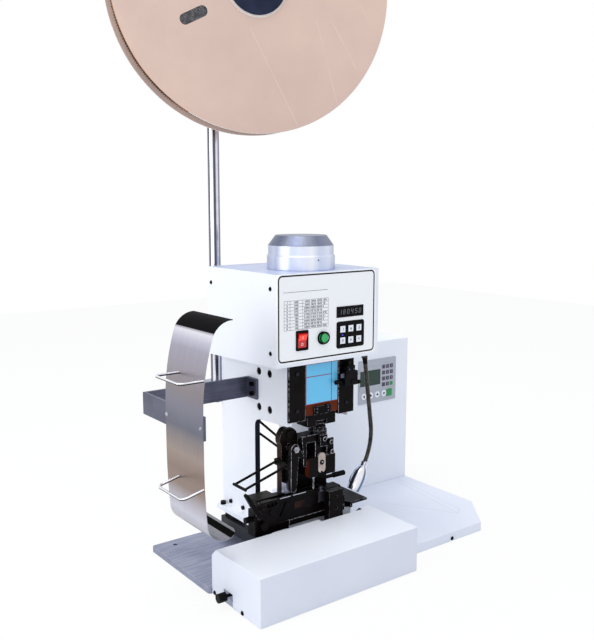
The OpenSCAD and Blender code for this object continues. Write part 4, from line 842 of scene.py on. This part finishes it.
# Printed table: row number, size and counts, all plain numerals
tableSet = {"left": -108.5, "right": -2, "low": 486, "high": 542, "rows": 9, "columns": (-94.6, -64.5), "line": 0.5,
            "upperLine": (-110, -4, 558.1, 558.8), "starts": (-101.5, -83, -59.5), "pitch": (3.3, 3.4), "gap": 1.4,
            "sign": (2.2, 3.6, 0.8), "lastSign": (2.3, 3.6, 0.8)}
left, right, low, high, line = (tableSet[k] for k in ("left", "right", "low", "high", "line"))
step = (high - low) / tableSet["rows"]
outlines = [rect(*tableSet["upperLine"])]
for k in range(tableSet["rows"] + 1):
    z = low + step * k
    outlines.append(rect(left, right, z - line / 2, z + line / 2))
for x in (left, *tableSet["columns"], right):
    outlines.append(rect(x - line / 2, x + line / 2, low, high))
addMarks("tableLines", outlines, front - 0.1, front, "inkBlack", "grey_plastic")
outlines = []
numberX, sizeX, countX = tableSet["starts"]
for row in range(tableSet["rows"]):
    z = high - step * (row + 0.5)
    outlines += digitOutlines(str(row + 1), numberX, z, tableSet["sign"])
    for k, sign in enumerate(str(15 * (row + 2)).zfill(3)):
        outlines += digitOutlines(sign, sizeX + tableSet["pitch"][0] * k, z, tableSet["sign"])
    for k, sign in enumerate((str(1250 + 375 * row) * 4)[:15 - row % 4]):
        x = countX + tableSet["pitch"][1] * k + (k // 4) * tableSet["gap"]
        outlines += digitOutlines(sign, x, z, tableSet["lastSign"])
addMarks("tableNumbers", outlines, front - 0.1, front, "inkBlack", "black_plastic")

# Rocker marks, and its upper half brighter red with a weak glow as painted highlight; a face is given by its ends in
# the rocker's section
rockerSet = {"x": -66.5, "y": -33, "z": 464, "tilt": 10, "upper": ((-3.2, 0), (-5.5, 12.9)),
             "lower": ((-5.5, -12.9), (-3.2, 0)), "proud": 0.16, "sunk": 0.05, "glow": (-9.6, 9.6, 1, 12.4),
             "on": (-0.6, 0.6, 4, 9.6), "off": (0, 6.2, 2.4, 20), "offLine": 0.9}
tilt = radians(rockerSet["tilt"])


def onRocker(x, y, z):  # from the rocker's own section to the machine
    return (rockerSet["x"] + x, rockerSet["y"] + y * cos(tilt) - z * sin(tilt),
            rockerSet["z"] + y * sin(tilt) + z * cos(tilt))


def rockerPatch(name, outlines, face, look):
    bm = bmesh.new()
    (y0, z0), (y1, z1) = face
    length = sqrt((y1 - y0) ** 2 + (z1 - z0) ** 2)
    ny, nz = -(z1 - z0) / length, (y1 - y0) / length

    def loopAt(outline, proud):
        return [onRocker(x, y0 + (y1 - y0) * s / length + ny * proud, z0 + (z1 - z0) * s / length + nz * proud)
                for x, s in outline]

    for outline in outlines:
        prism(bm, loopAt(outline, rockerSet["proud"]), loopAt(outline, -rockerSet["sunk"]))
    addPiece(name, evenNormals(name, plainMesh(name, bm), 40), look, "rocker")


# Upper half of the rocker in a brighter red with a weak glow: painted highlight
rockerPatch("rockerGlow", [rect(*rockerSet["glow"])], rockerSet["upper"], "redBright")
overGlow = [(y - 0.2, z) for y, z in rockerSet["upper"]]
rockerPatch("rockerOn", [rect(*rockerSet["on"])], overGlow, "whiteKey")
rockerPatch("rockerOff", bandOutlines(ringOutline(*rockerSet["off"]), rockerSet["offLine"]), rockerSet["lower"],
            "whiteKey")
buttonSet = {"place": (-14.7, -41, 464.6), "cap": 9.4, "ring": 12.2}
cap, ring = buttonSet["cap"], buttonSet["ring"]
ringShape = [(cap, 0), (ring, 0), (ring, 0.8), (cap + 0.8, 1.6), (cap, 1.2), (cap, 0)]
addTurned("buttonRing", [(ringShape, buttonSet["place"], "south")], "blackPlastic", "button")
print("panel built")

# Press plate: ruled frame and dividers, the text and signs left bare
plateSet = {"face": -14, "left": -41, "right": 41, "low": 327, "high": 410, "line": 1.5, "divideX": 24.4,
            "divideZ": 383.7}
left, right, low, high, line, divideX, divideZ = (plateSet[k] for k in ("left", "right", "low", "high", "line",
                                                                       "divideX", "divideZ"))
outlines = [rect(left, right, low, low + line), rect(left, right, high - line, high),
            rect(left, left + line, low + line, high - line), rect(right - line, right, low + line, high - line),
            rect(divideX - line / 2, divideX + line / 2, low + line, high - line),
            rect(left + line, divideX - line / 2, divideZ - line / 2, divideZ + line / 2)]
addMarks("plateLines", outlines, plateSet["face"] - 0.15, plateSet["face"], "redLine", "red_plastic", "press_ram")

# Screws of the press, and the edges of the hexagons in the slide guides' screws
pressSet = {"blockX": 14, "blockZ": (310, 317), "blockFace": -17.2, "blockScrew": (3.4, 0.5, 1.8),
            "guideX": 63, "guideZ": (319, 394), "hexagon": 2.6, "hexagonLine": 0.55, "guideFace": (-16.62, -16.45)}
southward, upward = (0, -1, 0), (0, 0, 1)
places = [((side * pressSet["blockX"], pressSet["blockFace"], z), southward) for side in (-1, 1)
          for z in pressSet["blockZ"]]
screws("ramBlockScrews", places, pressSet["blockScrew"], "edgeSteel", "press_ram")
outlines = []
for side in (-1, 1):
    for z in pressSet["guideZ"]:
        hexagon = ringOutline(side * pressSet["guideX"], z, pressSet["hexagon"], 6)
        outlines += bandOutlines(hexagon, pressSet["hexagonLine"])
addMarks("gibHexEdges", outlines, *pressSet["guideFace"], "edgeSteel", "machined_steel")
print("press built")

# Sensor: bracket, clamp and switch arm, adjusting knobs and clamp screws
sensorSet = {"bracket": [((38.5, -27, 374.5), (50, -25.5, 383))],
             "blocks": [((52, -29.4, 384), (74, -17, 398)), ((58, -27, 396), (66, -20, 408)),
                        ((64, -31, 361), (80, -28.8, 368)), ((48.5, -31.5, 376), (60, -28.9, 383))],
             "leftKnob": [(0, 0), (4, 0), (4.6, 0.8), (4.6, 5.6), (4, 6.4), (2.4, 6.4), (2.4, 15.5), (0, 15.5)],
             "rightKnob": [(0, 0), (2.2, 0), (2.2, 5), (4.4, 5.6), (4.4, 10), (3.8, 11), (0, 11)],
             "knobAt": ((27, -23, 366), (81, -23, 360)), "screwX": (57, 69), "screwZ": 391, "face": -29.4}
addBlocks("sensorBracket", sensorSet["bracket"], 0.3, "barAluminium")
addBlocks("sensorBlock", sensorSet["blocks"], 0.5, "blackPlastic")
knobs = [(sensorSet["leftKnob"], sensorSet["knobAt"][0], "x"), (sensorSet["rightKnob"], sensorSet["knobAt"][1], "x")]
knobs += [(disc(2.6, 1.6), (x, sensorSet["face"], sensorSet["screwZ"]), "south") for x in sensorSet["screwX"]]
addTurned("sensorKnobs", knobs, "blackPlastic")
places = [((x, sensorSet["face"] - 1.5, sensorSet["screwZ"]), southward) for x in sensorSet["screwX"]]
screws("sensorScrews", places, (3.2, 0.6, 1.6), "edgeSteel")
print("sensor built")

# Applicator: bolts, bosses, inlays and the small hardware of the feed
feedSet = {"bracketBolts": ((-79.3, 227.9), (-77.4, 180.9), (-71.4, 198.1)), "bracketFace": 9,
           "entryBolts": ((-126, -8, 136), (-116, -8, 136)), "boss": (-63.4, 9, 266.3),
           "inlay": [((-34.4, -15.4, 178), (-33.9, -3, 214))],
           "trackLines": [((-106, -16.3, 148.7), (-80, -15.9, 150.1)), ((-74, -16.3, 148.7), (-42, -15.9, 150.1))],
           "trackInlay": [((-70, -16.3, 121.5), (-44, -15.9, 134))],
           "leaf": [(-86, 139), (-92, 140), (-104, 114), (-102, 111)], "trackFace": -16,
           "largeKnob": (-147, -16, 104), "smallKnob": (-126, -16, 126), "knurled": (-183, -8, 120),
           "sleeve": (65, 28, 150), "pin": ((-21, -13, 150.4), (-21, -13, 173))}
places = [((x, feedSet["bracketFace"], z), southward) for x, z in feedSet["bracketBolts"]]
screws("bracketBolts", places, (6.4, 4, 3.2), "blackOxide")
places = [(place, upward) for place in feedSet["entryBolts"]]
screws("entryBolts", places, (8.5, 7, 4.4), "blackOxide")
addTurned("bracketBoss", [(disc(9.5, 3, 0.8), feedSet["boss"], "south")], "blackOxide")
addBlocks("guideInlay", feedSet["inlay"], 0.1, "brownSteel")
addBlocks("trackLines", feedSet["trackLines"], 0.1, "polishedSteel")
addBlocks("trackInlay", feedSet["trackInlay"], 0.1, "darkBrown")
addMarks("trackLeaf", [feedSet["leaf"]], feedSet["trackFace"] - 2.4, feedSet["trackFace"], "blackOxide",
         "black_oxide")
knobs = [(disc(9, 8, 0.9), feedSet["largeKnob"], "south"), (disc(6, 2.4, 0.5), feedSet["smallKnob"], "south")]
addTurned("trackKnobs", knobs, "blackOxide")
knurl = turnedPieces("knurledEnd", [(disc(6, 15, 0.5), feedSet["knurled"], "x")], 56, 0.07)
addPiece("knurledEnd", knurl, "blackOxide", "base")
addTurned("rodSleeve", [(disc(5.5, 30, 0.8), feedSet["sleeve"], "x")], "rubberPad")
addTurned("guidePin", [(disc(1.6, 25.5, 0.3), feedSet["pin"][0], "z"), (disc(3, 3, 0.4), feedSet["pin"][1], "z")],
          "brightNut")
springSet = {"Turns": 9.0, "Radius": 0.0026, "Height": 0.020, "Wire": 0.0005, "Place": (-0.021, -0.013, 0.1524)}
growPiece("pinSpring", seedPoints("springPoint", [((0, 0, 0), upward)]), springTree, springSet, "brightNut")

# Carrier on the ram, with its knobs
carrierSet = {"plates": [((-8, -20.5, 238), (10, -16.7, 262)), ((8, -20.5, 218), (26, -16.7, 252)),
                         ((-7, -16.8, 247.5), (7, -11, 261))],
              "knobs": [(-1, -20.5, 254.6), (16.4, -20.5, 245.4), (18.5, -20.5, 224.8)],
              "knob": [(0, 0), (5.4, 0), (5.4, 4.4), (4.6, 5.2), (0, 5.2)],
              "rim": [(3.4, 5.1), (4.9, 5.1), (4.7, 5.5), (3.5, 5.5), (3.4, 5.1)]}
addBlocks("ramCarrier", carrierSet["plates"], 0.6, "blackOxide", "press_ram")
addTurned("ramKnobs", [(carrierSet["knob"], place, "south") for place in carrierSet["knobs"]], "blackPlastic",
          "press_ram")
addTurned("ramKnobRims", [(carrierSet["rim"], place, "south") for place in carrierSet["knobs"]], "brightNut",
          "press_ram")

# Crimper: a plate with round ends, an eye and the notch that forms the terminal
crimpSet = {"low": 181, "tall": 42, "wide": 18.5, "corner": 8.6, "front": -15, "back": -11, "eye": 203, "notch": 3.5,
            "roof": 0.4}
low, eye, notch = crimpSet["low"], crimpSet["eye"], crimpSet["notch"]
loop = roundedLoop(0, low + crimpSet["tall"] / 2, crimpSet["wide"], crimpSet["tall"], crimpSet["corner"])
loop = [(x, z) for x, z in loop if abs(x) > notch or z > eye]
byHeight = sorted(loop, key=lambda p: p[1])
# Up the right side from the eye, down the left, over the notch and back up to the eye
outline = [p for p in byHeight if p[0] > 0 and p[1] >= eye]
outline += sorted([p for p in loop if p[0] <= 0], key=lambda p: -p[1])
for k in range(11):
    a = pi - pi * k / 10
    outline.append((notch * cos(a), low + crimpSet["roof"] + notch * sin(a)))
outline += [p for p in byHeight if p[0] > 0 and p[1] < eye]
addPiece("crimperPlate", prisms("crimperPlate", [outline], crimpSet["front"], crimpSet["back"]), "crimperSteel",
         bodyName("crimper"), ["crimper"])
eyeShape = [(0, 0), (5.4, 0), (5.4, 0.5), (0, 0.5)]
addTurned("crimperEye", [(eyeShape, (0, crimpSet["front"], eye), "south")], "blackOxide", "press_ram")
addTurned("crimperScrew", [(disc(2.1, 1.2, 0.3), (0.8, crimpSet["front"], eye + 0.6), "south")], "brightNut",
          "press_ram")
print("applicator detailed")

# Keypad of the control box: screen, digits, start key and arrow keys
boxSet = {"face": 198, "screen": (287.3, 353.3, 277.5, 316), "digits": (364.8, 320), "pitch": (13, 15),
          "signs": ("123", "456", "789", "0"), "signSize": (2.6, 4.6, 0.6),
          "startKey": [((375.5, 197.4, 243.5), (392.5, 199, 261.5))], "arrowKey": (299.8, 199, 252.5),
          "arrowPitch": 22, "arrow": [(-4, 0), (2, -4), (2, 4)], "arrowFace": 197.3}
addMarks("boxScreen", [rect(*boxSet["screen"])], boxSet["face"] + 0.02, boxSet["face"] + 0.2, "screenGlass",
         "black_plastic")
marks = []
for row, signs in enumerate(boxSet["signs"]):
    for k, sign in enumerate(signs):
        column = k if row < 3 else 1
        x, z = boxSet["digits"][0] + boxSet["pitch"][0] * column, boxSet["digits"][1] - boxSet["pitch"][1] * row
        marks += digitOutlines(sign, x, z, boxSet["signSize"])
addMarks("boxDigits", marks, boxSet["face"] - 0.1, boxSet["face"], "greyPlastic", "grey_plastic")
addBlocks("startKey", boxSet["startKey"], 0.4, "greenKey")
firstX, keyFace, keyHeight = boxSet["arrowKey"]
keyPlaces = [firstX + boxSet["arrowPitch"] * k for k in range(4)]
addTurned("arrowKeys", [(disc(8, 1.7, 0.4), (x, keyFace, keyHeight), "south") for x in keyPlaces], "whiteKey")
marks = [turnedOutline(boxSet["arrow"], x, keyHeight, turn) for x, turn in zip(keyPlaces, (0, 180, 270, 90))]
addMarks("boxArrows", marks, boxSet["arrowFace"] - 0.12, boxSet["arrowFace"], "inkBlack", "black_plastic")
print("box panel built")

# Thin lines of painted shade where the tray's top shows folds, seen from above, and the small screw of the motor cap
foldShadeSet = {"wide": 0.9, "proud": 0.06, "top": 20,
           "folds": [((365, -58), (263, 112)), ((365, -58), (387.6, -42)), ((365, -58), (404, 199)),
                     ((387.6, -42), (416, 199))]}
outlines = []
for start, end in foldShadeSet["folds"]:
    outlines += bandOutlines([(start[0], -start[1]), (end[0], -end[1])], foldShadeSet["wide"], False)
mesh = prisms("trayFolds", outlines, foldShadeSet["top"] + foldShadeSet["proud"], foldShadeSet["top"] - foldShadeSet["proud"])
mesh.transform(Matrix.Rotation(pi / 2, 4, "X"))
addPiece("trayFolds", mesh, "paintShade", "base")
screws("capScrew", [((-8.3, -11.3, 614), (-0.12, -0.99, 0))], (3, 0.6, 1.4), "edgeSteel")
print("tray built")

# Gooseneck: ribs along the tube between its collar and the lamp's fork
neckSet = {"start": (111, 416), "lean": 7.5, "straight": 155, "bend": 134, "end": -27.4, "y": -15, "skip": 20,
           "steps": 24, "ribs": {"Radius": 0.0039, "Pitch": 0.0027, "Rib": 0.00095},
           "ferrule": [(0, 0), (6.4, 0), (6.2, 3), (5, 12), (4.9, 18), (0, 18)]}
lean, bend = radians(neckSet["lean"]), neckSet["bend"]


def downNeck(far):  # a point of the straight part, seen from the front
    return neckSet["start"][0] + far * sin(lean), neckSet["start"][1] - far * cos(lean)


knee = downNeck(neckSet["straight"])
centre = (knee[0] - bend * cos(lean), knee[1] - bend * sin(lean))
path = [downNeck(neckSet["skip"]), knee]
for k in range(1, neckSet["steps"] + 1):
    a = radians(neckSet["lean"] + (neckSet["end"] - neckSet["lean"]) * k / neckSet["steps"])
    path.append((centre[0] + bend * cos(a), centre[1] + bend * sin(a)))
neckPath = bpy.data.meshes.new("neckPath")
neckPath.from_pydata([(x / 1000, neckSet["y"] / 1000, z / 1000) for x, z in path],
                     [(k, k + 1) for k in range(len(path) - 1)], [])
growPiece("neckRibs", neckPath, ribTree, neckSet["ribs"], "neckMetal", "neck")
along, across = Vector((sin(lean), 0, -cos(lean))), Vector((0, 1, 0))
x, z = downNeck(4)
downAxis = (along, across, along.cross(across))
addTurned("neckFerrule", [(neckSet["ferrule"], (x, neckSet["y"], z), downAxis)], "blackOxide", "neck")
print("gooseneck built")

# Reel: terminals round the coil and in the slot, creases in the card, flanges, coil and hub
reelSet = {"centre": (-52, 150, 1152), "turn": -14, "half": 28, "radius": 290, "thick": 3, "bore": 10.05, "core": 75,
           "coil": 272, "wrap": 279.5, "coilHalf": 23, "hub": 62, "edge": 0.6,
           "creases": [((-14.7, -86.6), (86.4, -269.9)), ((127.5, -61), (176.5, -226)), ((163.8, -63), (222, -156)),
                       ((226, -21), (244, -47))]}
slotSet = {"x": -128, "z": -72, "turn": 27, "wide": 60, "tall": 21, "corner": 10.2, "pitch": (2.4, 2.2),
           "terminal": (-0.75, 0.65, -0.5, 0.5), "depth": (-25.2, -24.5)}
reelBody = bodyName("reel")
half, thick, bore, edge, hub = (reelSet[k] for k in ("half", "thick", "bore", "edge", "hub"))
centre = tuple(c / 1000 for c in reelSet["centre"])
growPiece("woundTerminals", seedPoints("reelSeed", [((0, 0, 0), upward)]), windTree, {
    "Radius": reelSet["wrap"] / 1000, "Around": 350, "Rows": 3, "Row Pitch": 0.0158, "Width": 0.0145,
    "Centre": centre, "Turn": (pi / 2, 0, radians(reelSet["turn"]))}, "terminalMetal", reelBody)
toMachine = Matrix.Translation(centre) @ Matrix.Rotation(radians(reelSet["turn"]), 4, "Z")


def addToReel(name, mesh, look):
    mesh.transform(toMachine)
    return addPiece(name, mesh, look, reelBody)


outlines = [band for ends in reelSet["creases"] for band in bandOutlines(list(ends), 1.1, False)]
addToReel("cardCreases", prisms("cardCreases", outlines, -half - 0.12, -half + 0.05), "cardCrease")
outlines = []
for row in range(-5, 6):
    for column in range(-12, 13):
        x, z = slotSet["pitch"][0] * (column + row % 2 / 2), slotSet["pitch"][1] * row
        if abs(x) < 28 and abs(z) < 9.6:
            corners = [(x + px, z + pz) for px, pz in rect(*slotSet["terminal"])]
            outlines.append(turnedOutline(corners, slotSet["x"], slotSet["z"], slotSet["turn"]))
addToReel("slotTerminals", prisms("slotTerminals", outlines, *slotSet["depth"]), "brightNut")
r, core = reelSet["radius"], reelSet["core"]
flange = [(r - edge, -half), (r, -half + edge), (r, -half + thick - edge), (r - edge, -half + thick)]
spool = [(bore, -half), *flange, (core, -half + thick), (core, half - thick), *[(x, -y) for x, y in flange[::-1]],
         (bore, half), (bore, -half)]
bm = bmesh.new()
lathe(bm, spool, (0, 0, 0), "y", 160)
loop = roundedLoop(0, 0, slotSet["wide"], slotSet["tall"], slotSet["corner"], 8)
loop = turnedOutline(loop, slotSet["x"], slotSet["z"], slotSet["turn"])
cutter = bpy.data.objects.new("slotCutter", prisms("slotCutter", [loop], -half - 2, -half + thick + 0.5))
blank = bpy.data.objects.new("reelBlank", plainMesh("reelFlanges", bm))
for piece in (cutter, blank):
    scene.collection.objects.link(piece)
cut = blank.modifiers.new("cut", "BOOLEAN")
cut.object = cutter
cut.operation = "DIFFERENCE"
mesh = bpy.data.meshes.new_from_object(blank.evaluated_get(bpy.context.evaluated_depsgraph_get()))
for piece in (cutter, blank):
    bpy.data.objects.remove(piece)
mesh.materials.clear()
for look in ("cardboard", "cardEdge", "rimWorn"):
    mesh.materials.append(made[look])
for face in mesh.polygons:  # pale cut edges with a painted highlight, and a worn stretch of the front rim at the lower left
    x, y, z = face.center * 1000
    away = sqrt(x * x + z * z)
    onRim = away > r - 2 * edge
    inSlot = y < -half + thick and abs(face.normal.y) < 0.5 and 80 < away < 200
    face.material_index = 1 if onRim or inSlot else 0
    if onRim and y < -half + thick + 1 and 185 < degrees(atan2(z, x)) % 360 < 240:
        face.material_index = 2
mesh.transform(toMachine)
addPiece("reel", evenNormals("reel", mesh, 40), None, reelBody, ["reel"])
inner, outer, wide = reelSet["coil"] + 0.2, reelSet["wrap"] - 0.6, reelSet["coilHalf"]
wrap = [(inner, -wide), (outer, -wide), (outer, wide), (inner, wide), (inner, -wide)]
# The coil band between the flanges in dark: painted shade
addToReel("coilWrap", turnedPieces("coilWrap", [(wrap, (0, 0, 0), "y")], 160), "coilDark")
hubShape = [(bore, 0), (hub, 0), (hub, 3.4), (hub - 1, 4), (44, 4), (42, 3), (30, 3), (29, 4), (bore, 4), (bore, 0)]
hubMesh = turnedPieces("reelHub", [(hubShape, (0, -half, 0), "south")], 96)
addToReel("reelHub", hubMesh, "hubPlastic")
rimShape = [(hub, 0), (hub + 4.5, 0), (hub + 4, 0.7), (hub, 0.9), (hub, 0)]
addToReel("hubRim", turnedPieces("hubRim", [(rimShape, (0, -half, 0), "south")], 96), "cardEdge")
print("reel built")

# Stage: pale floor, white room, three soft lights
stageSet = {"size": 8, "key": 43, "side": 15, "fill": 3.5, "ambient": 0.76, "plain": 0.9, "floor": (0.9, 0.9, 0.9, 1),
            "floorRough": 0.9, "room": (0.9, 0.935, 1, 1), "white": (1, 1, 1, 1)}


def seenPlain(tree):  # for the camera, and in metal and glass
    rays = tree.nodes.new("ShaderNodeLightPath")
    direct = mathNode(tree, "MAXIMUM", rays.outputs["Is Camera Ray"], rays.outputs["Is Glossy Ray"])
    return mathNode(tree, "MAXIMUM", direct, rays.outputs["Is Transmission Ray"])


def blendShaders(tree, share, one, two, surface):
    blend = tree.nodes.new("ShaderNodeMixShader")
    for socket, value in zip(blend.inputs, (share, one.outputs[0], two.outputs[0])):
        tree.links.new(value, socket)
    tree.links.new(blend.outputs[0], surface)


floorMesh = bpy.data.meshes.new("floor")
half = stageSet["size"] / 2
floorMesh.from_pydata([(-half, -half, 0), (half, -half, 0), (half, half, 0), (-half, half, 0)], [], [(0, 1, 2, 3)])
floor = bpy.data.objects.new("floor", floorMesh)
scene.collection.objects.link(floor)
floorLook = bpy.data.materials.new("paleFloor")
floorLook.use_nodes = True
tree = floorLook.node_tree
matt = tree.nodes["Principled BSDF"]
matt.inputs["Base Color"].default_value = stageSet["floor"]
matt.inputs["Roughness"].default_value = stageSet["floorRough"]
glow = tree.nodes.new("ShaderNodeEmission")
glow.inputs["Color"].default_value = stageSet["white"]
share = mathNode(tree, "MULTIPLY", seenPlain(tree), stageSet["plain"])
blendShaders(tree, share, matt, glow, tree.nodes["Material Output"].inputs["Surface"])
floorMesh.materials.append(floorLook)

world = bpy.data.worlds.new("studioWorld")
scene.world = world
world.use_nodes = True
tree = world.node_tree
tree.nodes.clear()
room, white = tree.nodes.new("ShaderNodeBackground"), tree.nodes.new("ShaderNodeBackground")
for node, colour, strength in ((room, stageSet["room"], stageSet["ambient"]), (white, stageSet["white"], 1)):
    node.inputs["Color"].default_value = colour
    node.inputs["Strength"].default_value = strength
blendShaders(tree, seenPlain(tree), room, white, tree.nodes.new("ShaderNodeOutputWorld").inputs["Surface"])


def areaLight(name, place, target, size, power):
    data = bpy.data.lights.new(name, "AREA")
    data.size = size
    data.energy = power
    lamp = bpy.data.objects.new(name, data)
    lamp.location = place
    lamp.rotation_euler = (Vector(target) - Vector(place)).to_track_quat("-Z", "Y").to_euler()
    scene.collection.objects.link(lamp)
    return lamp


areaLight("keyLight", (-0.6, 0.1, 3.1), (0, 0, 0.4), 1.8, stageSet["key"])
areaLight("sideLight", (-2.7, 0.2, 1.0), (0, 0, 0.4), 1.6, stageSet["side"])
areaLight("fillLight", (-2.0, -1.5, 0.25), (0, 0, 0.35), 1.4, stageSet["fill"])
print("stage built")
